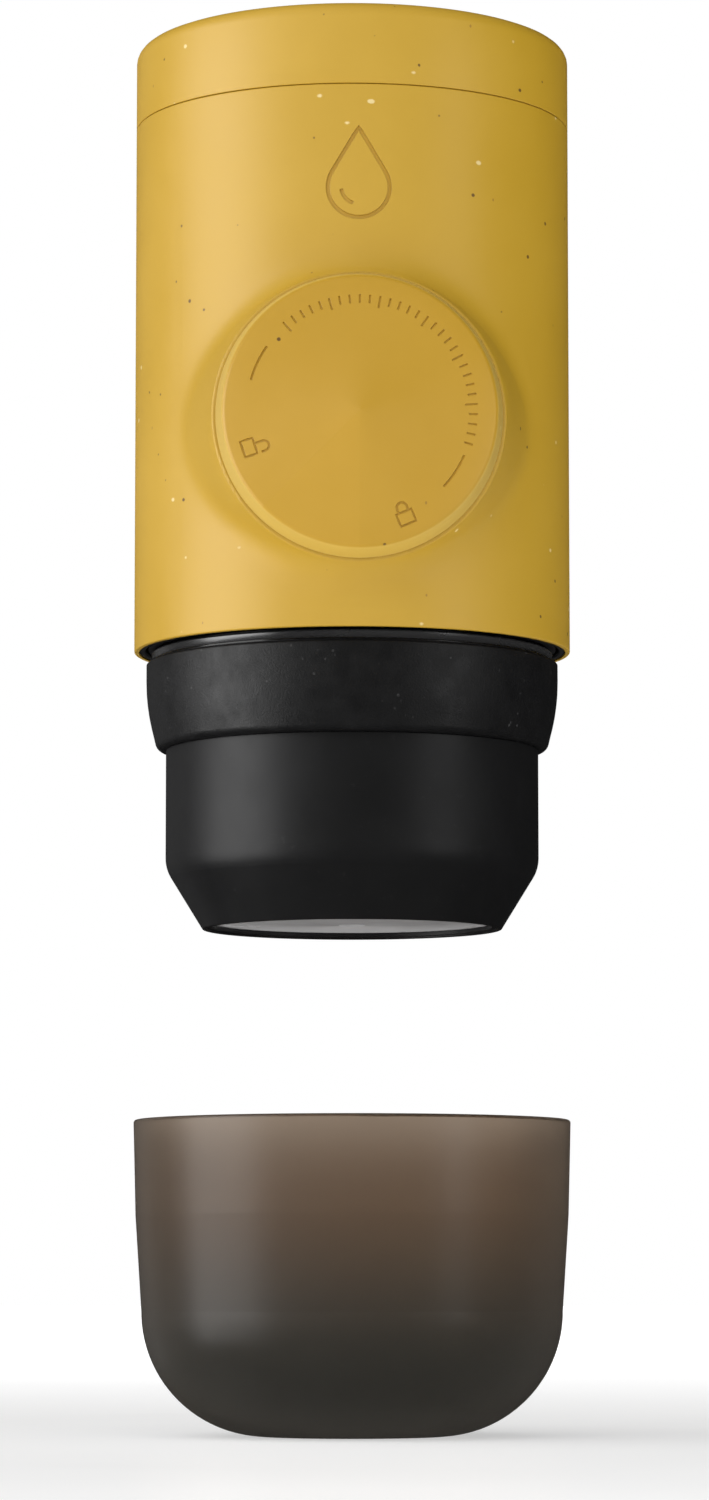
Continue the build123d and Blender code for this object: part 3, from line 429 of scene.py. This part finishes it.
def slotted_screw(head_r, head_tall, shank_r, length):
    """Points and faces of one screw, head up, its underside at z = 0, in millimetres."""
    rings = [[(0.0, head_tall)]]
    for share, drop in PAN_HEAD:
        rings.append([(head_r * share, head_tall * (1 - drop))] * SCREW_SIDES)
    steps = max(6, round(length / SCREW_PITCH * 8))
    for step in range(steps + 1):
        depth = length * step / steps
        tip = max(0.0, min(1.0, (length - depth) / (shank_r * 1.2)))
        begun = min(1.0, depth / SCREW_PITCH)
        row = []
        for k in range(SCREW_SIDES):
            wave = abs(((depth / SCREW_PITCH - k / SCREW_SIDES) % 1.0) * 2 - 1)
            row.append((shank_r * (1.0 - THREAD_DEPTH * wave * begun) * (0.35 + 0.65 * tip), -depth))
        rings.append(row)
    rings.append([(0.0, -length)])
    points, faces, first = [], [], []
    for row in rings:
        first.append(len(points))
        for k, (r, z) in enumerate(row):
            turn = 2 * math.pi * k / SCREW_SIDES
            points.append(Vector((r * math.cos(turn), r * math.sin(turn), z)))
    for k in range(SCREW_SIDES):
        n = (k + 1) % SCREW_SIDES
        faces.append((first[0], first[1] + k, first[1] + n))
        for a, b in zip(first[1:-2], first[2:-1]):
            faces.append((a + k, b + k, b + n, a + n))
        faces.append((first[-2] + k, first[-1], first[-2] + n))
    return points, faces


def gathered(parts):
    """Points and faces of several parts, numbered on."""
    points, faces = [], []
    for own_points, own_faces in parts:
        faces += [tuple(len(points) + i for i in face) for face in own_faces]
        points += own_points
    return points, faces


BAR_FACES = ((0, 1, 2, 3), (4, 5, 6, 7), (0, 1, 5, 4), (1, 2, 6, 5), (2, 3, 7, 6), (3, 0, 4, 7))


def screw_set(name, node, axis, head_r, head_tall, shank_r, slot_width):
    """Rebuilds a node's screws with rounded slotted heads and rolled threads."""
    screws, bars = [], []
    turn = Vector(axis).to_track_quat("Z", "Y").to_matrix().to_4x4()
    for low, high in separate_pieces(node):
        reach = abs((high - low).dot(Vector(axis)))
        top = (low + high) / 2 + Vector(axis) * reach / 2
        seat = Matrix.Translation(top) @ turn @ Matrix.Scale(MM, 4) @ Matrix.Translation((0, 0, -head_tall))
        points, faces = slotted_screw(head_r, head_tall, shank_r, reach / MM - head_tall)
        screws.append(([seat @ p for p in points], faces))
        x, y = slot_width / 2, head_r + 1
        bar = [seat @ Vector((side, end, z)) for z in (head_tall * SLOT_FLOOR, head_tall + 0.5)
               for side, end in ((-x, -y), (x, -y), (x, y), (-x, y))]
        bars.append((bar, BAR_FACES))
    solid = as_mesh(name, *gathered(screws))
    slots = as_mesh(name + "_slots", *gathered(bars))
    return add_piece(name, cut_away(name, solid, slots), screw_steel, "screw_steel", node)


def cut_away(name, solid, tool, crease=30):
    """One mesh with another subtracted from it."""
    body = bpy.data.objects.new(name + "_blank", solid)
    knife = bpy.data.objects.new(name + "_tool", tool)
    for thing in (body, knife):
        bpy.context.scene.collection.objects.link(thing)
    cut = body.modifiers.new("cut", "BOOLEAN")
    cut.operation, cut.solver, cut.object, cut.use_self = "DIFFERENCE", "EXACT", knife, True
    seen = body.evaluated_get(bpy.context.evaluated_depsgraph_get())
    result = bpy.data.meshes.new_from_object(seen)
    for thing in (body, knife):
        bpy.data.objects.remove(thing)
    result.name = name
    result.materials.clear()
    result.shade_smooth()
    result.set_sharp_from_angle(angle=math.radians(crease))
    return result


bright_steel = turned_steel("bright_steel", (0.62, 0.62, 0.63), 0.22, spread=(0.08, 1.0, 0.08))
screw_steel = turned_steel("screw_steel", (0.45, 0.45, 0.47), 0.32, spread=(0.6, 0.6, 0.6), coarse=2.0)
red_silicone = soft_rubber("red_silicone", (0.42, 0.050, 0.030), 0.48, grain=0.18, depth=0.006, fleck=0.10)
dress(bright_steel, "pump_cylinder")
dress(frame_black, "cylinder_cap")
dress(red_silicone, "cap_seal")
screw_set("cap_screws_threaded", "cap_screws", (0, 1, 0),
          head_r=1.6, head_tall=1.2, shank_r=1.0, slot_width=0.5)

# ---------------------------------------------------------------- valves
# Two poppets of red silicone on white acetal seats, pushed shut by light coils of
# spring wire. A perforated steel strainer guards the inlet, a retainer the outlet.
COIL_STEPS, WIRE_SIDES = 40, 12  # sections in one turn of wire, and sides of the wire
DEAD_TURNS = 0.8  # closed turns at each end


def spring_wire(name, node, centre, axis, radius, wire, low, high, turns):
    """Round-wire compression spring along an axis, its end turns closed, in millimetres."""
    turn = Vector(axis).to_track_quat("Z", "Y").to_matrix()
    steps = round(turns * COIL_STEPS)
    closed_lift = 2.0 * wire  # how far one closed turn climbs
    line = []
    for step in range(steps + 1):
        wound = turns * step / steps
        free = min(max((wound - DEAD_TURNS) / (turns - 2 * DEAD_TURNS), 0.0), 1.0)
        seat = min(wound, DEAD_TURNS) + max(0.0, wound - turns + DEAD_TURNS)
        lift = wire + seat * closed_lift + free * (high - low - 2 * wire - 2 * DEAD_TURNS * closed_lift)
        angle = 2 * math.pi * wound
        line.append(Vector((radius * math.cos(angle), radius * math.sin(angle), low + lift)))
    points, faces = [], []
    for k, p in enumerate(line):
        ahead = (line[min(k + 1, steps)] - line[max(k - 1, 0)]).normalized()
        out = Vector((p.x, p.y, 0)).normalized()
        out = (out - ahead * out.dot(ahead)).normalized()
        up = ahead.cross(out)
        for s in range(WIRE_SIDES):
            a = 2 * math.pi * s / WIRE_SIDES
            spot = p + (out * math.cos(a) + up * math.sin(a)) * wire
            points.append((turn @ spot) * MM + Vector(centre) * MM)
    for k in range(steps):
        for s in range(WIRE_SIDES):
            a, b = k * WIRE_SIDES + s, k * WIRE_SIDES + (s + 1) % WIRE_SIDES
            faces.append((a, b, b + WIRE_SIDES, a + WIRE_SIDES))
    faces.append(tuple(range(WIRE_SIDES)))
    faces.append(tuple(steps * WIRE_SIDES + s for s in range(WIRE_SIDES)))
    return add_piece(name, as_mesh(name, points, faces, 40), drawn_wire, "spring_steel", node, body="")


white_acetal = moulded_plastic("white_acetal", (0.72, 0.72, 0.69), roughness=0.34, depth=0.004, tone=0.05)
drawn_wire = turned_steel("drawn_wire", (0.50, 0.50, 0.52), 0.26, spread=(1.0, 1.0, 0.2))
sieve_steel = turned_steel("sieve_steel", (0.60, 0.60, 0.61), 0.28, spread=(0.25, 1.0, 0.25))
dress(white_acetal, "inlet_seat", "outlet_seat", "outlet_retainer")
dress(red_silicone, "inlet_poppet", "outlet_poppet")
dress(sieve_steel, "inlet_strainer")
for valve in ("inlet", "outlet"):
    low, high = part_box(valve + "_spring")
    middle = (low + high) / 2
    foot = (middle.x / MM, middle.y / MM, 0)
    coil = spring_wire(valve + "_spring_coil", valve + "_spring", foot, (0, 0, 1),
                       radius=2.5, wire=0.3, low=low.z / MM, high=high.z / MM, turns=4)
    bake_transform(coil)

# ---------------------------------------------------------------- brew ceiling
# Drilled stainless shower screen held under the frame by one broad slotted screw,
# with the silicone ring round it that the brew head is screwed against.
dress(sieve_steel, "shower_screen")
dress(red_silicone, "brew_gasket")
screw_set("screen_screw_threaded", "screen_screw", (0, 0, -1),
          head_r=3.0, head_tall=1.2, shank_r=1.2, slot_width=0.7)

# ---------------------------------------------------------------- piston
# White acetal rod and plunger turned in one, two black O-rings in its grooves, tied
# to the knob's sleeve by a washer and one screw that lets the sleeve turn.
seal_black = soft_rubber("seal_black", (0.012, 0.012, 0.012), 0.30, grain=0.15, depth=0.003, fleck=0.05)
dress(white_acetal, "piston_rod")
dress(seal_black, "piston_orings")
dress(bright_steel, "rod_washer")
screw_set("rod_screw_threaded", "rod_screw", (0, -1, 0),
          head_r=2.2, head_tall=1.2, shank_r=1.0, slot_width=0.5)

# ---------------------------------------------------------------- knob sleeve
# Black moulded sleeve with the H-shaped lock track, and the return spring round
# the liner inside it: closed ends, one against the block, one on the sleeve.
RETURN_WIRE = 0.6
sleeve_black = moulded_plastic("sleeve_black", (0.010, 0.010, 0.011), roughness=0.36, depth=0.005)
dress(sleeve_black, "knob_sleeve")
low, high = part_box("return_spring")
pump_height = ((low + high) / 2).z
coil = spring_wire("return_spring_coil", "return_spring", (0, 0, pump_height / MM), (0, 1, 0),
                   radius=(high.x - low.x) / 2 / MM - RETURN_WIRE, wire=RETURN_WIRE,
                   low=low.y / MM, high=high.y / MM, turns=6)
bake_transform(coil)

# ---------------------------------------------------------------- guide bush
# Black flanged bush with two lock pegs, let into the face of the shell's boss and
# clamped there by three small screws that pass through shell and frame.
dress(sleeve_black, "guide_bush")
screw_set("bush_screws_threaded", "bush_screws", (0, -1, 0),
          head_r=1.45, head_tall=0.85, shank_r=1.0, slot_width=0.5)

# ---------------------------------------------------------------- outer shell
# Thin moulded tube in mustard yellow with cream and brown flecks. Its front carries a
# round boss for the knob and an engraved water drop, and a black ring is let in behind
# its lower lip.
FLECKS = (  # cells in a metre, spot size, colour, share of the cells, squeeze along x, y and z
    (215.0, 0.062, (0.15, 0.072, 0.012), 0.50, (1.0, 0.8, 1.0)),
    (230.0, 0.078, (0.86, 0.68, 0.30), 0.34, (0.62, 1.0, 1.0)),
    (430.0, 0.075, (0.40, 0.21, 0.022), 0.10, (1.0, 1.0, 0.7)),
)


def flecked(tree, place, tint):
    """A tint strewn with flecks, each kind in a ragged spot in some of its cells."""
    ragged = noise(tree, place, 2400.0, 2.0)
    for scale, size, shade, share, squeeze in FLECKS:
        shifted = graph(tree, "Mapping", {"Vector": place, "Location": (scale * MM, 0.37, 0.11),
                                          "Rotation": (0.3, 0.5, 0.0), "Scale": squeeze})
        cells = graph(tree, "TexVoronoi", {"Vector": shifted.outputs[0], "Scale": scale})
        edge = reckon(tree, "MULTIPLY_ADD", ragged, size * 0.5, cells.outputs["Distance"])
        spot = ranged(tree, edge, size, size * 1.35, 0.95, 0.0)
        lot = graph(tree, "SeparateColor", {"Color": cells.outputs["Color"]}).outputs[0]
        drawn = reckon(tree, "LESS_THAN", lot, share)
        tint = toned(tree, reckon(tree, "MULTIPLY", spot, drawn), tint, shade)
    return tint


def speckled_yellow(name, colour, roughness):
    """Satin mustard plastic with flecks, still without its relief: the finish, its shader, the
    place and the tint of each point."""
    finish, shader, place = new_finish(name, colour)
    tree = finish.node_tree
    clouds = noise(tree, place, 45.0, 4.0, 0.6)
    darker = tuple(c * k for c, k in zip(colour, (0.93, 0.92, 0.88)))
    lighter = tuple(c * k for c, k in zip(colour, (1.07, 1.08, 1.12)))
    tint = flecked(tree, place, toned(tree, clouds, darker, lighter))
    tree.links.new(tint, shader.inputs["Base Color"])
    shader.inputs["Specular IOR Level"].default_value = 0.58
    rub = ranged(tree, clouds, 0.3, 0.7, roughness - 0.04, roughness + 0.06)
    tree.links.new(rub, shader.inputs["Roughness"])
    return finish, shader, place, tint


def mould_grain(tree, shader, place, normal):
    """Fine mould grain laid over the yellow plastic's normal."""
    grain = noise(tree, place, 3200.0, 2.0)
    tree.links.new(raised(tree, grain, 0.6, 0.0035 * MM, normal), shader.inputs["Normal"])


# The boss melts into the tube in a ring whose softening comes and goes between these radii.
SOFT_FROM, SOFT_FULL, SOFT_LEAVES, SOFT_TO = 21.4, 23.0, 25.5, 28.2


def shell_finish(centre):
    """The yellow of shell and cap, with the foot of the boss softened."""
    finish, shader, place, tint = speckled_yellow("shell_yellow", (0.60, 0.360, 0.025), 0.42)
    tree = finish.node_tree
    reach = from_middle(tree, place, centre, (1, 0, 1))[1]
    comes = ranged(tree, reach, SOFT_FROM * MM, SOFT_FULL * MM)
    goes = ranged(tree, reach, SOFT_LEAVES * MM, SOFT_TO * MM, 1.0, 0.0)
    around = reckon(tree, "MULTIPLY", comes, goes)
    normal = mixed(tree, around, eased(tree, 0.15), eased(tree, 3.5, samples=12), "VECTOR")
    mould_grain(tree, shader, place, normal)
    return finish


def groove(path, width, floor, top_y, closed=False):
    """Points and faces of a cutter that follows a path of (x, z) across the front, in millimetres."""
    count = len(path)
    points, faces = [], []
    for k, (x, z) in enumerate(path):
        before = path[(k - 1) % count] if closed or k else path[0]
        after = path[(k + 1) % count] if closed or k < count - 1 else path[-1]
        along = Vector((after[0] - before[0], after[1] - before[1])).normalized()
        side = Vector((-along.y, along.x)) * width / 2
        for px, pz in ((x + side.x, z + side.y), (x - side.x, z - side.y)):
            points.append((px * MM, floor(px, pz) * MM, pz * MM))
            points.append((px * MM, top_y * MM, pz * MM))
    for k in range(count if closed else count - 1):
        a, b = 4 * k, 4 * ((k + 1) % count)
        for i, j in ((0, 1), (1, 3), (3, 2), (2, 0)):
            faces.append((a + i, b + i, b + j, a + j))
    if not closed:
        end = 4 * (count - 1)
        faces += [(0, 1, 3, 2), (end, end + 2, end + 3, end + 1)]
    return points, faces


def engraved(name, node, grooves, finish):
    """A copy of a yellow node's skin with grooves cut into it."""
    skin = frame["nodes"][node].data.copy()
    if "custom_normal" in skin.attributes:
        skin.attributes.remove(skin.attributes["custom_normal"])
    shape = bmesh.new()
    shape.from_mesh(skin)
    bmesh.ops.remove_doubles(shape, verts=shape.verts, dist=2e-6)
    for edge in shape.edges:
        edge.smooth = True
    shape.to_mesh(skin)
    shape.free()
    tool = as_mesh(name + "_grooves", *gathered(grooves))
    return add_piece(name, cut_away(name, skin, tool, 24), finish, "yellow_plastic", node)


def spun(outline, around=192):
    """Points and faces of a closed outline of (radius, height), in millimetres, turned about the
    upright axis."""
    points, faces = [], []
    for k in range(around):
        turn = 2 * math.pi * k / around
        points += [(r * math.cos(turn) * MM, r * math.sin(turn) * MM, z * MM) for r, z in outline]
    count = len(outline)
    for k in range(around):
        a, b = k * count, (k + 1) % around * count
        faces += [(a + i, a + (i + 1) % count, b + (i + 1) % count, b + i) for i in range(count)]
    return points, faces


shell_low, shell_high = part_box("outer_shell")
SHELL_R = shell_high.x / MM
OVER_SHELL = -(SHELL_R + 1.5)  # a groove's cutter reaches out to here
DROP_TALL, DROP_R = 13.0, 4.4
DROP_LINE, DROP_DEPTH = 0.55, 0.35
DROP_MIDDLE = shell_high.z / MM - 12.85
BELLY_MIDDLE = DROP_MIDDLE - DROP_TALL / 2 + DROP_R
GLINT_R, GLINT_FROM, GLINT_SWEEP = 2.5, 188, 62  # a short arc in the drop, its angles in degrees
GLINT_LINE, GLINT_DEPTH = 0.5, 0.30


def straight(start, end, steps=12):
    """Evenly spaced points that follow start, up to end, so that a groove can follow the tube."""
    return [(start[0] + (end[0] - start[0]) * k / steps, start[1] + (end[1] - start[1]) * k / steps)
            for k in range(1, steps + 1)]


def belly_arc(radius, start, sweep, steps):
    """Points on an arc about the middle of the drop's belly, its angles in radians."""
    angles = [start + sweep * k / steps for k in range(steps + 1)]
    return [(radius * math.cos(angle), BELLY_MIDDLE + radius * math.sin(angle)) for angle in angles]


def drop_outline():
    """Round belly with two flanks that meet in a point above it."""
    tip = (0.0, DROP_MIDDLE + DROP_TALL / 2)
    lean = math.asin(DROP_R / (tip[1] - BELLY_MIDDLE))
    belly = belly_arc(DROP_R, math.pi - lean, math.pi + 2 * lean, 48)
    return belly + straight(belly[-1], tip) + straight(tip, belly[0])[:-1]


def under_shell(depth):
    """How far back the floor of a groove of that depth lies under the tube's front."""
    return lambda x, z: -math.sqrt((SHELL_R - depth) ** 2 - x * x)


glint = belly_arc(GLINT_R, math.radians(GLINT_FROM), math.radians(GLINT_SWEEP), 16)

mouth = shell_low.z / MM
REBATE_R, REBATE_TALL = 31.3, 3.0  # cut out of the lip for the ring, and a little past its edge
RING_BORE, RING_R, RING_FOOT = 30.3, 31.25, 0.15
ring_top = mouth + REBATE_TALL - 0.05
rebate = spun([(r, mouth + z) for r, z in ((29.0, -0.6), (REBATE_R, -0.6), (REBATE_R, REBATE_TALL),
                                           (29.0, REBATE_TALL))])
mouth_ring = spun([(RING_BORE, mouth + RING_FOOT + 0.20), (RING_BORE + 0.20, mouth + RING_FOOT),
                   (RING_R - 0.15, mouth + RING_FOOT), (RING_R, mouth + RING_FOOT + 0.15),
                   (RING_R, ring_top), (RING_BORE, ring_top)])
add_piece("shell_mouth_ring", as_mesh("shell_mouth_ring", *mouth_ring), frame_black, "frame_plastic",
          body="housing")

boss_low, boss_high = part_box("knob_cap")
boss_middle = (0, 0, (boss_low.z + boss_high.z) / 2)
shell_yellow = shell_finish(boss_middle)
engraved("outer_shell_skin", "outer_shell",
         [groove(drop_outline(), DROP_LINE, under_shell(DROP_DEPTH), OVER_SHELL, closed=True),
          groove(glint, GLINT_LINE, under_shell(GLINT_DEPTH), OVER_SHELL), rebate], shell_yellow)

# ---------------------------------------------------------------- knob
# Press button of the same yellow: shallow cone, drafted side. Engraved in its face are
# a dial of fine ticks, two arcs, and the open and closed padlock that the lock turns to.
FACE_R, CROWN = 19.4, 0.8  # the face, and how far its cone rises
knob_middle = boss_middle[2] / MM
face_front = boss_low.y / MM
over_face = face_front - 1
CONE_LEAN = 0.15  # slope that the finish adds to the cone's own
FOLD = 0.10  # how much the face sags from one soft fold to the other, the first at six o'clock
LAST_FOLD = 5.5  # radians round from there to the second, where a flat wedge begins
# colour of the painted highlight along the knob's rim, a paler tint standing in for light its edge catches
RIM_PAINTED_HIGHLIGHT = (0.85, 0.62, 0.16)


def knob_finish():
    """The knob's yellow: a shallow cone with two soft folds, and a painted highlight along its rim."""
    finish, shader, place, tint = speckled_yellow("knob_yellow", (0.58, 0.328, 0.018), 0.36)
    tree = finish.node_tree
    flat, reach = from_middle(tree, place, boss_middle, (1, 0, 1))
    cone = reckon(tree, "MULTIPLY", reach, -CONE_LEAN)
    normal = raised(tree, cone, 1.0, 1.0, eased(tree, 0.15))
    split = graph(tree, "SeparateXYZ", {"Vector": flat})
    under = reckon(tree, "MULTIPLY", split.outputs["Z"], -1.0)
    turn = reckon(tree, "WRAP", reckon(tree, "ARCTAN2", split.outputs["X"], under), 2 * math.pi, 0.0)
    to_last = reckon(tree, "MULTIPLY_ADD", turn, 1 / LAST_FOLD, -1.0)
    sag = reckon(tree, "MINIMUM", reckon(tree, "MULTIPLY", turn, to_last), 0.0)
    normal = raised(tree, reckon(tree, "MULTIPLY", sag, reach), 1.0, FOLD, normal)
    mould_grain(tree, shader, place, normal)
    # painted highlight: the rim of the face is tinted paler, standing in for light caught by its edge
    rim_highlight_from = (FACE_R - 0.15) * MM
    wear_and_painted_rim_highlight = ranged(tree, reach, rim_highlight_from, rim_highlight_from + 0.2 * MM, 0.0, 0.55)
    tree.links.new(toned(tree, wear_and_painted_rim_highlight, tint, RIM_PAINTED_HIGHLIGHT), shader.inputs["Base Color"])
    return finish


def under_face(depth):
    """Floor of a groove of that depth in the knob's cone."""
    return lambda x, z: face_front + CROWN * math.hypot(x, z - knob_middle) / FACE_R + depth


def on_face(radius, degrees):
    """A place on the face, by distance from the middle and angle from the right."""
    angle = math.radians(degrees)
    return radius * math.cos(angle), knob_middle + radius * math.sin(angle)


MARK_R = 15.9  # the ring in which all marks lie
MARK_DEPTH, TICK_DEPTH = 0.22, 0.20
PADLOCK_LINE, ARC_LINE, TICK_LINE = 0.30, 0.28, 0.24
CASE_HALF, CASE_FOOT, CASE_TOP = 1.15, -1.5, 0.3
BOW_R, BOW_LEG = 0.72, 0.95  # the bow's radius, and where its legs end and its round begins
BOW_SHIFT, BOW_LIFT = 0.42, 0.55  # how far an open bow has moved


def padlock(degrees, opened):
    """Outline of a small padlock, upright towards the face's middle."""
    middle = Vector(on_face(MARK_R, degrees))
    up = Vector((-math.cos(math.radians(degrees)), -math.sin(math.radians(degrees))))
    right = Vector((up.y, -up.x))

    def spot(across, above):
        return tuple(middle + right * across + up * above)

    waist = (CASE_FOOT + CASE_TOP) / 2
    case = [spot(CASE_HALF * a, b) for a, b in ((0, CASE_FOOT), (1, CASE_FOOT), (1, waist), (1, CASE_TOP),
                                                (0, CASE_TOP), (-1, CASE_TOP), (-1, waist), (-1, CASE_FOOT))]
    shift, lift = (BOW_SHIFT, BOW_LIFT) if opened else (0.0, 0.0)
    bow = [spot(shift - BOW_R, CASE_TOP)]
    for k in range(9):
        angle = math.pi * k / 8
        bow.append(spot(shift - BOW_R * math.cos(angle), BOW_LEG + lift + BOW_R * math.sin(angle)))
    bow.append(spot(shift + BOW_R, BOW_LEG if opened else CASE_TOP))
    floor = under_face(MARK_DEPTH)
    return [groove(case, PADLOCK_LINE, floor, over_face, closed=True),
            groove(bow, PADLOCK_LINE, floor, over_face)]


# Angles on the face, in degrees from the right.
LOCKED_AT, UNLOCKED_AT = -67, -161
ARC_MIDDLES, ARC_SWEEP = (155, -33), 19
TICKS, FIRST_TICK, DIAL_SWEEP = 30, 131, 148
LONG_TICK, SHORT_TICK = 1.1, 0.6
marks = padlock(LOCKED_AT, False) + padlock(UNLOCKED_AT, True)
for middle in ARC_MIDDLES:
    arc = [on_face(MARK_R, middle + ARC_SWEEP * (0.5 - k / 16)) for k in range(17)]
    marks.append(groove(arc, ARC_LINE, under_face(MARK_DEPTH), over_face))
for k in range(TICKS):
    angle = FIRST_TICK - DIAL_SWEEP * k / (TICKS - 1)
    inward = LONG_TICK if k % 5 == 0 else SHORT_TICK
    tick = [on_face(MARK_R - inward, angle), on_face(MARK_R + SHORT_TICK, angle)]
    marks.append(groove(tick, TICK_LINE, under_face(TICK_DEPTH), over_face))
engraved("knob_cap_marked", "knob_cap", marks, knob_finish())

# ---------------------------------------------------------------- tank
# Smoke-tinted clear vessel with a four-start male thread at its foot, sealed on the
# frame's floor by a silicone ring, its yellow cap pressed and glued over the top.
def tinted_clear(name, colour, roughness, haze=0.04, foot=None, foot_height=None):
    """Clear moulded plastic with flow waves and fine scuffs, darker where it is seen at a slant. Its
    foot may have another tint, up to a height in millimetres."""
    finish, shader, place = new_finish(name, colour)
    tree = finish.node_tree
    shader.inputs["Transmission Weight"].default_value = 1.0
    shader.inputs["IOR"].default_value = 1.49
    flow = noise(tree, place, 55.0, 2.0)
    scuffs = noise(tree, place, 1300.0, 5.0, 0.75)
    fine = ranged(tree, scuffs, 0.35, 0.75, roughness, roughness + haze)
    tree.links.new(fine, shader.inputs["Roughness"])
    deep = tuple(c * 0.93 for c in colour)
    tint = toned(tree, flow, deep, colour)
    if foot:
        height = graph(tree, "SeparateXYZ", {"Vector": place}).outputs["Z"]
        share = ranged(tree, height, foot_height * MM / 4, foot_height * MM, interpolation_type="SMOOTHSTEP")
        tint = toned(tree, share, foot, tint)
    slant = graph(tree, "LayerWeight", {"Blend": 0.5}).outputs["Facing"]
    long_way = ranged(tree, slant, 0.30, 0.90, 0.0, 0.75)
    dark = tuple(c * 0.35 for c in colour)
    tree.links.new(toned(tree, long_way, tint, dark), shader.inputs["Base Color"])
    tree.links.new(raised(tree, flow, 0.25, 0.03 * MM), shader.inputs["Normal"])
    return finish


def corner(r, z, radius, start):
    """Quarter round about a middle point, from the start angle on, seven points."""
    angles = [math.radians(start + 15 * k) for k in range(7)]
    return [(r + radius * math.cos(angle), z + radius * math.sin(angle)) for angle in angles]


tank_smoke = tinted_clear("tank_smoke", (0.42, 0.40, 0.39), 0.08)
dress(tank_smoke, "tank_vessel")
dress(red_silicone, "tank_gasket")

CAP_RISE = 1.15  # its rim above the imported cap's
CAP_BORE, CAP_AXIS = 30.2, 0.02  # its outline stops just short of the axis
FOOT_ROUND, RIM_ROUND, INNER_ROUND = 0.08, 2.1, 0.5
RIM_INNER, DISH_R, DISH_DEEP = 25.9, 25.2, 0.6
cap_low, cap_high = (cap_corner.z / MM for cap_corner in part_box("tank_cap"))
cap_foot, cap_under, rim_top = cap_low - 0.2, cap_high - 2.0, cap_high + CAP_RISE
cap_outline = [(CAP_AXIS, cap_under), (CAP_BORE, cap_under), (CAP_BORE, cap_foot)]
cap_outline += [(SHELL_R - FOOT_ROUND, cap_foot)]
cap_outline += corner(SHELL_R - FOOT_ROUND, cap_foot + FOOT_ROUND, FOOT_ROUND, -90)[1:]
cap_outline += corner(SHELL_R - RIM_ROUND, rim_top - RIM_ROUND, RIM_ROUND, 0)
cap_outline += corner(RIM_INNER, rim_top - INNER_ROUND, INNER_ROUND, 90)
cap_outline += [(DISH_R, cap_high - DISH_DEEP), (CAP_AXIS, cap_high - DISH_DEEP)]
add_piece("tank_cap_crisp", as_mesh("tank_cap_crisp", *spun(cap_outline), 24),
          shell_yellow, "yellow_plastic", "tank_cap")
thread_ridges("tank_thread", tank_smoke, "tinted_tank", "tank", wall=27.6, crest=28.28,
              width=TANK_RIDGE, lead=TANK_LEAD, starts=TANK_STARTS,
              low=tank_thread_low, high=tank_thread_low + 6.0, first=0.0)

# ---------------------------------------------------------------- brew head
# Black moulded bowl with a three-start threaded neck and a polished shoulder below it.
# Basket, funnel, grey pouring plate and its seal lie inside, and the soft rubber collar
# is moulded round the outside.
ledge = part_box("grip_collar")[1].z / MM
bowl_black = moulded_plastic("bowl_black", (0.005, 0.005, 0.0055), roughness=0.47, depth=0.006, dust=0.03,
                             glazed_above=ledge + 0.2)
collar_rubber = soft_rubber("collar_rubber", (0.0058, 0.0058, 0.0062), 0.47, grain=0.30, depth=0.060,
                            fleck=0.045, blotch=0.11)
spout_grey = moulded_plastic("spout_grey", (0.66, 0.66, 0.67), roughness=0.24, depth=0.002, tone=0.06,
                             dish=0.30)
basket_steel = turned_steel("basket_steel", (0.60, 0.60, 0.61), 0.24, spread=(0.1, 0.1, 1.0))
dress(bowl_black, "outlet_bowl", "collector_funnel")
dress(basket_steel, "filter_basket")
dress(red_silicone, "spout_seal")
dress(spout_grey, "spout_plate")
dress(collar_rubber, "grip_collar")
neck_polish = moulded_plastic("neck_polish", (0.030, 0.030, 0.031), roughness=0.24, depth=0.002, dust=0.05)
neck_polish.node_tree.nodes["Principled BSDF"].inputs["IOR"].default_value = 2.2
shoulder = spun([(28.4, ledge + 0.05), (29.0, ledge + 0.05), (29.12, ledge + 0.15), (29.45, ledge + 1.3),
                 (29.3, ledge + 1.5), (28.4, ledge + 1.5)])
add_piece("neck_shoulder", as_mesh("neck_shoulder", *shoulder, 40), neck_polish, "black_plastic",
          body="outlet_head")
thread_ridges("neck_thread", bowl_black, "black_plastic", "outlet_head", wall=27.9, crest=28.48,
              width=HEAD_RIDGE, lead=HEAD_LEAD, starts=HEAD_STARTS,
              low=head_thread_low, high=head_thread_low + 4.0, first=0.0)

# ---------------------------------------------------------------- cup
# Smoke-brown clear cup, slipped over the collar to carry the maker, here taken off
# and standing below it: drafted wall, round bottom, small flat foot.
cup_smoke = tinted_clear("cup_smoke", (0.33, 0.255, 0.19), 0.34, haze=0.05,
                         foot=(0.16, 0.155, 0.14), foot_height=36.0)
dress(cup_smoke, "cup")
